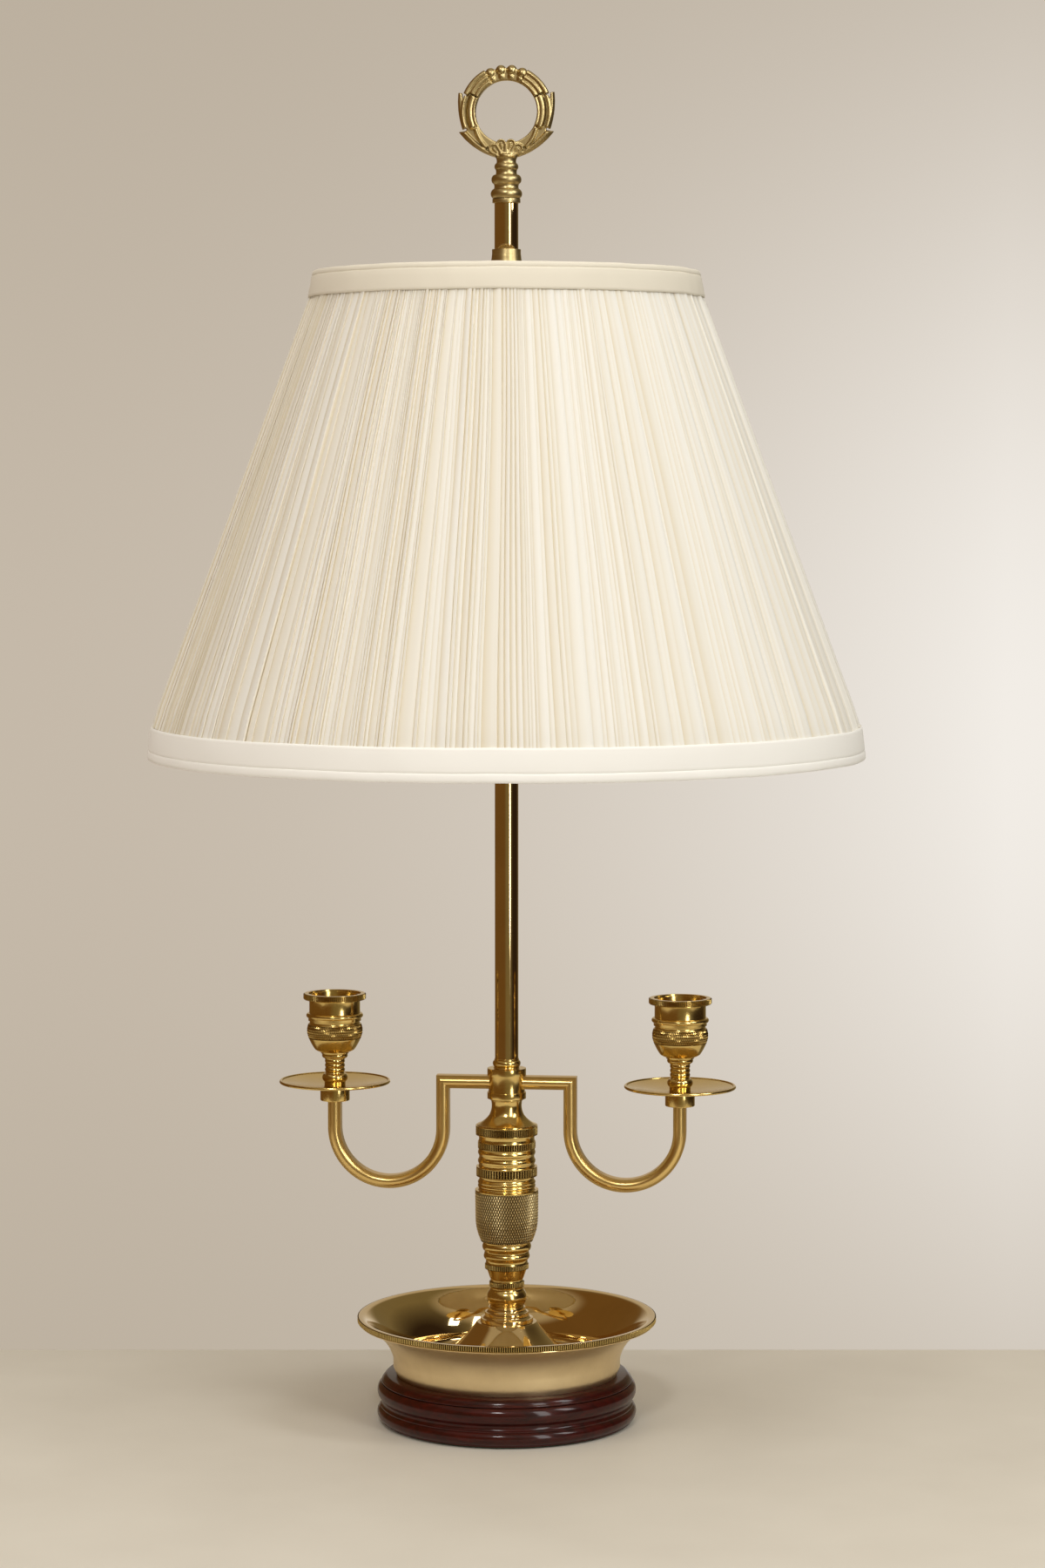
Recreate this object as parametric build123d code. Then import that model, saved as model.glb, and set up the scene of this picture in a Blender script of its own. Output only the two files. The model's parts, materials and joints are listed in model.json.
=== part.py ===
"""Bouillotte lamp: turned brass column, two candle arms and a pleated empire shade.

Millimetres, +Z up. The origin is the centre of the felt pad's underside, on the
surface that the lamp stands on. The two arms run along X and the cord bushing is at
the back, at +Y. Each turned piece is a list of lathe features from its foot upwards,
and stands on the piece below it, so the column stays closed when one of them changes.
"""
import os
from math import cos, radians, sin

from build123d import *

# ------------------------------------------------------------------ lathe features
# One feature is (height, foot radius, middle radius or None, head radius).


def land(height, radius, top=None):
    """A straight band, or a taper when its top radius differs."""
    return (height, radius, None, radius if top is None else top)


def bead(height, edge, crest):
    """A rounded ring that swells from its edge radius to its crest."""
    return (height, edge, crest, edge)


def curve(height, foot, middle, head):
    """An arc through three radii: a cove when it is hollow, a swell when it is full."""
    return (height, foot, middle, head)


def height_of(features):
    """Length of a turned piece along the lamp's axis."""
    return sum(feature[0] for feature in features)


# ------------------------------------------------------------- clearances and stock
RUNNING_FIT = 0.08          # radial clearance of a shaft that turns or slides
ROD_CLEARANCE = 0.2         # radial clearance of the column pieces on the rod
SKIN_GAP = 0.3              # gap between nested thin skins
EDGE_BREAK = 0.25           # small chamfer on exposed machined corners
CUT_OVER = 1.0              # a cut runs this far past the face that it opens
DIAGONAL = sin(radians(45))

# -------------------------------------------------------------------------- column
FELT_THICKNESS = 1.0
FELT_INSET = 2.5            # felt edge inside the base's foot edge

WOOD_BASE = [
    land(0.8, 63.0),
    bead(6.4, 63.3, 65.1),
    land(0.6, 63.5),
    curve(3.0, 63.5, 62.6, 63.1),
    bead(8.2, 63.1, 65.0),
    bead(1.5, 62.3, 62.9),
    curve(2.5, 62.3, 61.6, 60.0),
]
POCKET_RADIUS = 44.0        # recess under the base for the nut and the leads
POCKET_DEPTH = 12.0

BUSHING_BORE = 3.4          # cord inlet radius
BUSHING_WALL = 1.3
BUSHING_FLANGE = 2.0        # flange stands this far out from the sleeve
BUSHING_FLANGE_THICKNESS = 1.6
BUSHING_HEIGHT = 8.0        # inlet axis above the underside of the wood
BUSHING_SEAT_DEPTH = 3.0    # spot face behind the base's widest point

ROD_RADIUS = 4.9            # 1/8 IP lamp pipe
ROD_BORE = 3.2
ROD_TAIL = 2.5              # rod below the nut
NUT_ACROSS_FLATS = 15.0
NUT_HEIGHT = 4.0
WASHER_RADIUS = 13.0
WASHER_THICKNESS = 1.5

TRAY_FOOT_RADIUS = 55.3
TRAY_WALL_RADIUS = 57.0     # wall at its narrowest, above the foot
TRAY_WALL_START = 3.8       # height where the foot's taper meets the wall
TRAY_FLARE_START = 8.0      # height where the wall starts to flare
TRAY_FLARE_MIDDLE = (60.4, 16.0)    # radius and height half way up the flare
TRAY_LIP_RADIUS = 73.6      # flare's end, under the rim
TRAY_LIP_HEIGHT = 25.6
TRAY_RIM_RADIUS = 75.0
TRAY_RIM_HEIGHT = 2.6       # knurled edge
TRAY_BEAD_HEIGHT = 1.0      # plain bead under the rim
TRAY_WALL = 1.7
TRAY_FILLET = 3.4           # inside corner between the wall and the floor
TRAY_FLOOR_HEIGHT = 4.0     # top of the floor above the wood
TRAY_FLOOR = 2.0
TRAY_BOSS_RADIUS = 16.0     # clamped boss under the floor
TRAY_LIP_ROUND = 2.4        # rim's flat top, across

CONE_FOOT = [
    land(1.0, 39.0),
    curve(21.0, 38.0, 24.0, 15.0),
    land(2.0, 13.3),
    curve(1.0, 12.4, 11.5, 11.0),
    land(2.0, 11.0),
    curve(1.0, 10.3, 9.7, 9.3),
    land(1.4, 9.3),
]
KNOP = [
    curve(1.2, 8.8, 8.4, 8.8),
    bead(7.4, 8.6, 9.95),
    curve(2.0, 8.6, 8.3, 8.5),
]
LOWER_REEL = [
    land(2.5, 8.8),
    curve(1.5, 8.2, 8.1, 8.2),
    land(5.0, 8.4, top=10.2),
    land(2.5, 11.0),
    curve(2.3, 10.7, 10.5, 10.7),
    bead(3.2, 10.9, 11.6),
    curve(1.2, 11.3, 11.15, 11.3),
    bead(4.0, 11.5, 12.3),
    land(0.6, 12.1),
]
KNURLED_DRUM = [
    curve(11.2, 12.9, 14.95, 15.7),
    land(15.0, 15.7, top=15.9),
]
RIBBED_REEL = [
    curve(1.2, 14.6, 14.0, 14.05),
    bead(1.8, 14.05, 14.5),
    bead(1.8, 14.05, 14.5),
    curve(2.2, 14.1, 13.7, 14.2),
    land(4.8, 15.25),
    curve(1.6, 14.2, 14.0, 14.1),
    bead(2.4, 14.1, 14.45),
    curve(1.8, 14.0, 13.85, 14.0),
    bead(2.6, 14.0, 14.45),
    curve(0.8, 14.2, 14.05, 14.2),
    land(3.5, 14.45),
    curve(3.3, 14.2, 13.95, 14.4),
    land(4.7, 15.5),
    land(0.5, 14.8),
]
NECK = [
    curve(4.4, 14.6, 11.0, 8.9),
    curve(7.7, 8.9, 7.6, 7.9),
    land(0.9, 8.3),
]
HUB_LOWER_RIM = land(3.2, 9.7)
HUB_BODY = land(8.4, 9.1)
HUB_UPPER_RIM = land(3.6, 9.7)
HUB_SHOULDER = curve(1.0, 7.2, 6.3, 6.3)
ARM_HUB = [HUB_LOWER_RIM, HUB_BODY, HUB_UPPER_RIM, HUB_SHOULDER]
HUB_FLAT_DEPTH = 0.9        # spot face where an arm seats on the hub's body
ARM_IN_BODY = 4.9           # arm's centreline above the foot of the hub's body

STEM_WALL = 0.8
STEM_LENGTH = 153.0
CHECK_RING_STEP = 0.55      # bead beyond the stem

# ---------------------------------------------------------------------------- arms
ARM_WIDTH = 6.4             # in the plane of the arms
ARM_SIDE_DEPTH = 5.8        # across the flat sides, along Y
ARM_REED_WIDTH = 4.0        # raised reed on the front and back
ARM_REED_STEP = 0.35
ARM_REED_CREST = 0.95       # crest above the reed's edge
ARM_CORNER_X = 32.0         # centreline of the straight drop
ARM_DROP = 23.7             # from the run's centreline to the start of the half circle
ARM_RETURN_RADIUS = 27.4
ARM_RISE = 13.1             # straight leg from the half circle to the collar
TENON_RADIUS = 2.5          # arm's spigot in the hub
TENON_GAP = 0.4             # spigot's end stays clear of the rod's bore

COLLAR = [land(6.5, 7.4)]
PAN_RADIUS = 27.9
PAN_THICKNESS = 1.0
PAN_SEAT_RADIUS = 9.0       # flat middle of the pan
PAN_RISE = 2.4              # rim above the seat
PAN_BEAD = 0.75             # radius of the rolled rim

CANDLE_CUP = [
    land(2.2, 5.3),
    bead(3.9, 5.5, 6.4),
    curve(0.9, 5.2, 4.7, 4.6),
    bead(2.2, 4.6, 5.05),
    bead(2.2, 4.6, 5.05),
    bead(2.2, 4.6, 5.05),
    land(0.6, 5.2),
    bead(2.2, 6.0, 6.5),
    land(0.7, 7.0),
    curve(1.4, 7.2, 9.1, 10.1),
    curve(7.1, 10.1, 12.2, 13.7),
    curve(3.3, 13.7, 14.0, 14.0),
    curve(2.6, 14.0, 13.8, 13.2),
    curve(1.5, 12.9, 12.6, 12.9),
    land(1.4, 13.3),
    bead(2.4, 13.4, 14.3),
    land(6.3, 12.8),
    land(0.6, 13.2, top=15.3),
    land(3.0, 15.7),
]
CANDLE_BORE = 11.65         # radius for a standard 7/8 inch candle
CANDLE_BORE_DEPTH = 21.0
CANDLE_MOUTH = 13.1         # counterbore at the rim
CANDLE_MOUTH_DEPTH = 0.8
STUD_RADIUS = 2.4
STUD_IN_ARM = 9.0
STUD_IN_CUP = 12.0

# --------------------------------------------------------------- harp and its stud
SADDLE_THICKNESS = 1.5
SADDLE_WALL = 0.9           # strip beside the rod's hole
SADDLE_HALF_SPAN = 28.0     # from the axis to each leg
SADDLE_TAB = 10.0           # height of the turned-up tab
SADDLE_PIN = 6.0            # pin under each harp leg
HARP_WIRE = 2.2             # wire radius
HARP_HEIGHT = 230.0         # saddle's underside to the top of the crown
HARP_HALF_WIDTH = 56.0
HARP_LEG = 26.0             # straight leg above the saddle pins
HARP_SHOULDER_RISE = 72.0   # from the pins to full width
HARP_CROWN_DROP = 52.0      # from the crown down to full width
HARP_CROWN_HALF = 22.0      # half of the crown's straight stretch
HARP_BENDS = (26.0, 36.0, 26.0, 26.0)   # bend radii from the leg to the crown
CROWN_DISC_RADIUS = 6.5
CROWN_DISC_THICKNESS = 3.4
FERRULE_WALL = 1.1
FERRULE_LENGTH = 12.0
HARP_STUD_RADIUS = 3.1      # 1/4-27 finial thread
HARP_STUD_LENGTH = 16.0
HARP_FLANGE_RADIUS = 8.5
HARP_FLANGE_THICKNESS = 2.0
RIVET_RADIUS = 2.0

# --------------------------------------------------------- socket, switch and bulb
SOCKET_CAP_HUB = 8.0
SOCKET_CAP_HUB_HEIGHT = 4.0
SOCKET_CAP_FLARE = 8.0
SOCKET_CAP_RADIUS = 16.4
SOCKET_CAP_MIDDLE = 13.9    # radius half way up the flare
SOCKET_CAP_SKIRT = 6.0
SOCKET_SHELL_SEAT = 1.0     # shell's foot above the flare
SOCKET_SHEET = 0.5          # brass sheet of the cap and the shell
SOCKET_SHELL_LENGTH = 46.0
SOCKET_LINER = 0.4
SOCKET_LINER_SHORT = 2.0    # liner ends this far below the shell's top
SOCKET_BODY_HEIGHT = 17.0
SCREW_SHELL_BORE = 13.35
SCREW_SHELL_HEIGHT = 22.0
SWITCH_SHAFT_RADIUS = 1.6
SWITCH_MOUTH_GAP = 1.0      # round the shaft where it leaves the shell
SWITCH_MOUTH_DEPTH = 4.0    # cut that makes the mouth
SWITCH_SHAFT_DEPTH = 6.0    # shaft inside the socket body
SWITCH_SHAFT_REACH = 17.0   # shaft outside the shell
SWITCH_KNOB_RADIUS = 5.6
SWITCH_KNOB_LENGTH = 10.0
SWITCH_KNOB_FLUTES = 12
SWITCH_FLUTE_RADIUS = 0.8
SWITCH_KNOB_COVER = 1.0     # closed end beyond the shaft

BULB_CAP_RADIUS = 13.05     # E26 cap
BULB_CAP_HEIGHT = 20.0
BULB_TIP_RADIUS = 4.5
BULB_TIP_HEIGHT = 3.0
BULB_NECK_RADIUS = 14.0
BULB_RADIUS = 30.0
BULB_NECK_LENGTH = 26.0     # cap to the start of the globe
BULB_NECK_MIDDLE = 15.5     # radius half way up the neck
BULB_GLASS = 1.0

# --------------------------------------------------------------------------- shade
SHADE_BOTTOM_RADIUS = 177.0     # fabric at the bottom edge
SHADE_TOP_RADIUS = 94.4
SHADE_HEIGHT = 239.0
SHADE_SHOULDER_RADIUS = 175.2   # fabric at the upper edge of the bottom band
SHADE_NECK_RADIUS = 96.9        # fabric at the lower edge of the top band
BOTTOM_BAND_HEIGHT = 16.0
TOP_BAND_HEIGHT = 13.0
BAND_THICKNESS = 0.9
FABRIC_THICKNESS = 1.2
LINING_THICKNESS = 0.6
SHADE_WIRE = 1.5            # wire radius of the rings
SPIDER_WIRE = 1.4
SPIDER_ARMS = 3
SPIDER_FIRST_ARM = 90.0     # degrees: the first arm points to the back
SPIDER_KNEE = 4.2           # arm lies flat this far past the washer
SPIDER_DROP = 3.0           # washer under the top ring's centre
SPIDER_WASHER_RADIUS = 13.0
SPIDER_WASHER_THICKNESS = 1.5
SPIDER_BORE_GAP = 0.35

# -------------------------------------------------------------------------- finial
RISER_COLLAR = [
    land(2.0, 10.0),
    curve(10.0, 9.4, 7.9, 7.2),
    land(2.7, 7.1),
]
RISER_TUBE = [land(22.6, 5.9)]
RISER_SPIGOT_RADIUS = 4.6   # tube's foot inside the collar
RISER_SPIGOT_LENGTH = 3.0
FINIAL_STEM = [
    land(2.0, 6.9),
    bead(4.9, 6.3, 7.75),
    curve(2.2, 6.2, 5.95, 6.2),
    bead(4.6, 6.2, 7.4),
    curve(2.4, 5.4, 5.1, 5.3),
    bead(3.2, 5.2, 5.9),
    curve(2.9, 4.95, 4.8, 5.4),
]
FINIAL_THREAD_DEPTH = 14.0  # tapped length in the riser tube
FINIAL_DOWEL_RADIUS = 2.2   # spigots between the tube, the stem and the wreath
FINIAL_DOWEL_LENGTH = 5.0
WREATH_CENTRE = 22.1        # ring centre above the stem
WREATH_INNER = 15.2
WREATH_WEB = (21.4, 2.4)    # outer radius and thickness of the ring's web
WREATH_CREST = 3.0          # crests of the reeds from the wreath's middle plane
WREATH_SEAT = (4.4, 1.6)    # radius and height of the boss on the stem
# reeds on both faces: ring radius, reed radius, first angle, last angle
WREATH_REEDS = [
    (16.5, 1.3, 27.5, 62.0),
    (19.0, 1.35, 27.5, 62.0),
    (21.6, 1.35, 23.5, 62.0),
    (15.9, 0.65, -24.0, 25.5),
    (17.9, 1.65, -20.5, 25.5),
    (21.4, 0.75, -21.0, 21.5),
]
BUDS = (17.95, 1.45, -22.6)     # ring radius, radius and angle of the buds under the reeds
PEARL_ANGLES = (112.5, 97.5, 82.5, 67.5)
PEARL_ROWS = [(20.4, 2.6), (17.5, 1.9)]     # ring radius and pearl radius
# in the wreath's plane from the ring's centre: outer arc, then inner arc
LEAF = [(5.6, -22.1), (14.6, -18.0), (23.7, -9.5), (19.8, -8.9), (14.4, -14.4), (3.0, -21.9)]
LEAF_RIDGE = [(6.6, -21.3), (14.6, -16.3), (20.9, -10.2), (19.8, -9.8), (14.3, -15.2),
              (6.0, -20.9)]
LEAF_DEPTH = 2.9
SHEATH = [(21.7, -8.7), (23.65, -0.5), (23.75, 9.7), (21.7, 9.4), (20.9, 0.4), (20.1, -7.9)]
SHEATH_FACE = [(21.0, -7.6), (22.7, -0.4), (22.9, 9.2), (21.9, 9.0), (21.2, 0.4),
               (20.5, -7.2)]
SHEATH_DEPTH = 2.6
TENDRIL = [(14.9, -8.2), (13.2, -12.7), (9.6, -17.3)]
TENDRIL_RADIUS = 0.95
FAN_CENTRE = -1.9           # fan's centre above the stem
FAN_ANGLES = (45.0, 74.0, 106.0, 135.0)
FAN_LOBE = [(4.6, 1.3), (8.7, 2.35)]    # foot and tip: distance from the centre, half width
FAN_GROOVE = [(5.2, 0.65), (8.6, 1.65)]
FAN_GROOVE_DEPTH = 1.0
FAN_RIB = [(5.2, 0.3), (8.3, 0.75)]
FAN_RIB_DEPTH = 2.95
FAN_DEPTH = 3.3             # face of the lobes from the middle plane
CRESCENT = [(-4.6, -22.1), (0.0, -21.2), (4.6, -22.1)]
CRESCENT_RADIUS = 1.0

# ------------------------------------------------------------------ derived heights
COLUMN_BORE = ROD_RADIUS + ROD_CLEARANCE
STEM_RADIUS = COLUMN_BORE + STEM_WALL
SADDLE_WIDTH = 2 * (COLUMN_BORE + SADDLE_WALL)
CHECK_RING = [
    bead(2.9, STEM_RADIUS + CHECK_RING_STEP, STEM_RADIUS + 2 * CHECK_RING_STEP),
    land(0.9, STEM_RADIUS + CHECK_RING_STEP / 2),
]
BASE_RADIUS = max(max(foot, middle or 0, head) for _, foot, middle, head in WOOD_BASE)
BUSHING_SEAT_Y = BASE_RADIUS - BUSHING_SEAT_DEPTH
WOOD_Z = FELT_THICKNESS
TRAY_Z = WOOD_Z + height_of(WOOD_BASE)
CONE_Z = TRAY_Z + TRAY_FLOOR_HEIGHT
KNOP_Z = CONE_Z + height_of(CONE_FOOT)
LOWER_REEL_Z = KNOP_Z + height_of(KNOP)
DRUM_Z = LOWER_REEL_Z + height_of(LOWER_REEL)
RIBBED_REEL_Z = DRUM_Z + height_of(KNURLED_DRUM)
NECK_Z = RIBBED_REEL_Z + height_of(RIBBED_REEL)
HUB_Z = NECK_Z + height_of(NECK)
CHECK_RING_Z = HUB_Z + height_of(ARM_HUB)
STEM_Z = CHECK_RING_Z + height_of(CHECK_RING)
SADDLE_Z = STEM_Z + STEM_LENGTH
SOCKET_Z = SADDLE_Z + SADDLE_THICKNESS
NUT_Z = WOOD_Z + POCKET_DEPTH - WASHER_THICKNESS - NUT_HEIGHT
ROD_TOP = SOCKET_Z + SOCKET_CAP_HUB_HEIGHT

ARM_Z = HUB_Z + HUB_LOWER_RIM[0] + ARM_IN_BODY
HUB_FLAT_X = HUB_BODY[1] - HUB_FLAT_DEPTH
ARM_END_X = ARM_CORNER_X + 2 * ARM_RETURN_RADIUS
ARM_END_Z = ARM_Z - ARM_DROP + ARM_RISE
PAN_Z = ARM_END_Z + height_of(COLLAR)
CUP_Z = PAN_Z + PAN_THICKNESS
CUP_TOP = CUP_Z + height_of(CANDLE_CUP)

PIN_TOP = SADDLE_Z + SADDLE_TAB + SADDLE_PIN
HARP_TOP = SADDLE_Z + HARP_HEIGHT
HARP_FLANGE_TOP = HARP_TOP + HARP_FLANGE_THICKNESS
RISER_Z = HARP_FLANGE_TOP + SPIDER_WASHER_THICKNESS
RISER_TUBE_Z = RISER_Z + height_of(RISER_COLLAR)
FINIAL_Z = RISER_TUBE_Z + height_of(RISER_TUBE)
WREATH_Z = FINIAL_Z + height_of(FINIAL_STEM)

TOP_RING_Z = RISER_Z - SPIDER_WASHER_THICKNESS / 2 + SPIDER_DROP
SHADE_TOP = TOP_RING_Z + SHADE_WIRE
SHADE_BOTTOM = SHADE_TOP - SHADE_HEIGHT
SHADE_OUTLINE = [
    (SHADE_BOTTOM_RADIUS, SHADE_BOTTOM),
    (SHADE_SHOULDER_RADIUS, SHADE_BOTTOM + BOTTOM_BAND_HEIGHT),
    (SHADE_NECK_RADIUS, SHADE_TOP - TOP_BAND_HEIGHT),
    (SHADE_TOP_RADIUS, SHADE_TOP),
]
LINING_OFFSET = FABRIC_THICKNESS + SKIN_GAP
RING_OFFSET = LINING_OFFSET + LINING_THICKNESS + SKIN_GAP + SHADE_WIRE

SHELL_RADIUS = SOCKET_CAP_RADIUS - SOCKET_SHEET - ROD_CLEARANCE / 2
SHELL_BOTTOM = SOCKET_Z + SOCKET_CAP_HUB_HEIGHT + SOCKET_CAP_FLARE + SOCKET_SHELL_SEAT
SOCKET_BODY_RADIUS = SHELL_RADIUS - SOCKET_SHEET - SOCKET_LINER - SKIN_GAP
SCREW_SHELL_Z = SHELL_BOTTOM + SOCKET_BODY_HEIGHT
SWITCH_Z = SHELL_BOTTOM + SOCKET_BODY_HEIGHT / 2
BULB_Z = SCREW_SHELL_Z + SOCKET_SHEET


# ----------------------------------------------------------------- general builders
def in_section(radius, height):
    """A point of an outline in the half plane through the lamp's axis."""
    return (radius, 0, height)


def turned(features, foot, bore=0.0):
    """Revolve stacked lathe features, from the height of the foot, round a bore."""
    edges = []
    here = in_section(bore, foot)
    level = foot
    for height, start_radius, middle, end_radius in features:
        start = in_section(start_radius, level)
        end = in_section(end_radius, level + height)
        if start != here:
            edges.append(Line(here, start))
        if middle is None:
            edges.append(Line(start, end))
        else:
            edges.append(ThreePointArc(start, in_section(middle, level + height / 2), end))
        here = end
        level += height
    edges.append(Line(here, in_section(bore, level)))
    edges.append(Line(in_section(bore, level), in_section(bore, foot)))
    return revolve(make_face(edges), axis=Axis.Z)


def tube(radius, bore, foot, height):
    """A straight tube or washer on the lamp's axis."""
    return turned([land(height, radius)], foot, bore)


def drilled(piece, radius, foot, height, x=0.0):
    """Cut a vertical hole from a named height upwards."""
    return piece - Pos(x, 0, foot + height / 2) * Cylinder(radius, height)


def wire_along(path, radius):
    """A round bar along a path."""
    start = Plane(origin=path @ 0, z_dir=path % 0)
    return sweep(start * Circle(radius), path)


def skin(outline, thickness):
    """A thin shell of revolution inside an outline of (radius, height) points."""
    outer = [in_section(radius, height) for radius, height in outline]
    inner = [in_section(radius - thickness, height) for radius, height in reversed(outline)]
    return revolve(make_face(Polyline(*outer, *inner, close=True)), axis=Axis.Z)


def moved_in(outline, offset):
    """The same outline with every radius reduced."""
    return [(radius - offset, height) for radius, height in outline]


def mirrored(piece):
    """The left-hand copy of a right-hand piece."""
    return mirror(piece, about=Plane.YZ)


# ---------------------------------------------------------------------------- base
def felt_pad():
    return tube(WOOD_BASE[0][1] - FELT_INSET, 0.0, 0.0, FELT_THICKNESS)


def wood_base():
    sleeve = BUSHING_BORE + BUSHING_WALL
    flange = sleeve + BUSHING_FLANGE
    axis_z = WOOD_Z + BUSHING_HEIGHT
    base = turned(WOOD_BASE, WOOD_Z, COLUMN_BORE)
    base = drilled(base, POCKET_RADIUS, WOOD_Z, POCKET_DEPTH)
    inlet = Plane(origin=(0, 0, axis_z), z_dir=(0, 1, 0))
    base -= extrude(inlet * Circle(sleeve + ROD_CLEARANCE), BASE_RADIUS + CUT_OVER)
    seat = Plane(origin=(0, BUSHING_SEAT_Y, axis_z), z_dir=(0, 1, 0))
    base -= extrude(seat * Circle(flange + ROD_CLEARANCE), BUSHING_SEAT_DEPTH + CUT_OVER)
    return base


def cord_bushing():
    sleeve = BUSHING_BORE + BUSHING_WALL
    axis_z = WOOD_Z + BUSHING_HEIGHT
    inner_end = Plane(origin=(0, POCKET_RADIUS, axis_z), z_dir=(0, 1, 0))
    seat = Plane(origin=(0, BUSHING_SEAT_Y, axis_z), z_dir=(0, 1, 0))
    body = extrude(inner_end * Circle(sleeve), BUSHING_SEAT_Y - POCKET_RADIUS)
    body += extrude(seat * Circle(sleeve + BUSHING_FLANGE), BUSHING_FLANGE_THICKNESS)
    return body - extrude(inner_end * Circle(BUSHING_BORE), BASE_RADIUS)


def base_washer():
    return tube(WASHER_RADIUS, COLUMN_BORE, NUT_Z + NUT_HEIGHT, WASHER_THICKNESS)


def base_nut():
    hexagon = RegularPolygon(NUT_ACROSS_FLATS / 2, 6, major_radius=False)
    nut = Pos(0, 0, NUT_Z) * extrude(hexagon - Circle(ROD_RADIUS + RUNNING_FIT), NUT_HEIGHT)
    return nut


def drip_tray():
    """A spun dish: foot, wall and flare outside, the same curve inside, a flat floor."""
    rim_foot = TRAY_Z + TRAY_LIP_HEIGHT + TRAY_BEAD_HEIGHT
    rim_top = rim_foot + TRAY_RIM_HEIGHT
    floor_top = TRAY_Z + TRAY_FLOOR_HEIGHT
    middle_radius, middle_height = TRAY_FLARE_MIDDLE
    flare_foot = in_section(TRAY_WALL_RADIUS, TRAY_Z + TRAY_FLARE_START)
    flare_middle = in_section(middle_radius, TRAY_Z + middle_height)
    lip = in_section(TRAY_LIP_RADIUS, TRAY_Z + TRAY_LIP_HEIGHT)
    rim_inner = TRAY_RIM_RADIUS - TRAY_LIP_ROUND
    inner_radius = TRAY_WALL_RADIUS - TRAY_WALL
    inner_flare = in_section(inner_radius, TRAY_Z + TRAY_FLARE_START)
    inner_middle = in_section(middle_radius - TRAY_WALL * DIAGONAL,
                              TRAY_Z + middle_height + TRAY_WALL * DIAGONAL)
    fillet_head = in_section(inner_radius, floor_top + TRAY_FILLET)
    fillet_foot = in_section(inner_radius - TRAY_FILLET, floor_top)
    fillet_middle = in_section(inner_radius - TRAY_FILLET * (1 - DIAGONAL),
                               floor_top + TRAY_FILLET * (1 - DIAGONAL))
    outline = [
        Line(in_section(COLUMN_BORE, TRAY_Z), in_section(TRAY_BOSS_RADIUS, TRAY_Z)),
        Line(in_section(TRAY_BOSS_RADIUS, TRAY_Z),
             in_section(TRAY_BOSS_RADIUS, floor_top - TRAY_FLOOR)),
        Line(in_section(TRAY_BOSS_RADIUS, floor_top - TRAY_FLOOR),
             in_section(TRAY_FOOT_RADIUS - TRAY_WALL, floor_top - TRAY_FLOOR)),
        Line(in_section(TRAY_FOOT_RADIUS - TRAY_WALL, floor_top - TRAY_FLOOR),
             in_section(TRAY_FOOT_RADIUS - TRAY_WALL, TRAY_Z)),
        Line(in_section(TRAY_FOOT_RADIUS - TRAY_WALL, TRAY_Z),
             in_section(TRAY_FOOT_RADIUS, TRAY_Z)),
        Line(in_section(TRAY_FOOT_RADIUS, TRAY_Z),
             in_section(TRAY_WALL_RADIUS, TRAY_Z + TRAY_WALL_START)),
        Line(in_section(TRAY_WALL_RADIUS, TRAY_Z + TRAY_WALL_START), flare_foot),
        ThreePointArc(flare_foot, flare_middle, lip),
        ThreePointArc(lip, in_section(TRAY_LIP_RADIUS + TRAY_BEAD_HEIGHT / 2,
                                      TRAY_Z + TRAY_LIP_HEIGHT + TRAY_BEAD_HEIGHT / 2),
                      in_section(TRAY_LIP_RADIUS, rim_foot)),
        Line(in_section(TRAY_LIP_RADIUS, rim_foot), in_section(TRAY_RIM_RADIUS, rim_foot)),
        Line(in_section(TRAY_RIM_RADIUS, rim_foot), in_section(TRAY_RIM_RADIUS, rim_top)),
        Line(in_section(TRAY_RIM_RADIUS, rim_top), in_section(rim_inner, rim_top)),
        ThreePointArc(in_section(rim_inner, rim_top), inner_middle, inner_flare),
        Line(inner_flare, fillet_head),
        ThreePointArc(fillet_head, fillet_middle, fillet_foot),
        Line(fillet_foot, in_section(COLUMN_BORE, floor_top)),
        Line(in_section(COLUMN_BORE, floor_top), in_section(COLUMN_BORE, TRAY_Z)),
    ]
    return revolve(make_face(outline), axis=Axis.Z)


# -------------------------------------------------------------------------- column
def arm_hub():
    """The hub's spot faces and tenon holes take the arms at both sides."""
    hub = turned(ARM_HUB, HUB_Z, COLUMN_BORE)
    for side in (1, -1):
        depth = HUB_FLAT_DEPTH + CUT_OVER
        reeded_depth = ARM_SIDE_DEPTH + 2 * (ARM_REED_STEP + ARM_REED_CREST)
        pad = Box(depth, reeded_depth + 2 * RUNNING_FIT, ARM_WIDTH + 2 * RUNNING_FIT)
        hub -= Pos(side * (HUB_FLAT_X + depth / 2), 0, ARM_Z) * pad
        tenon_hole = Plane(origin=(0, 0, ARM_Z), z_dir=(side, 0, 0))
        hub -= extrude(tenon_hole * Circle(TENON_RADIUS + RUNNING_FIT), HUB_FLAT_X)
    return hub


def threaded_rod():
    foot = NUT_Z - ROD_TAIL
    return tube(ROD_RADIUS, ROD_BORE, foot, ROD_TOP - foot)


def stem_tube():
    return tube(STEM_RADIUS, COLUMN_BORE, STEM_Z, STEM_LENGTH)


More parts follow.
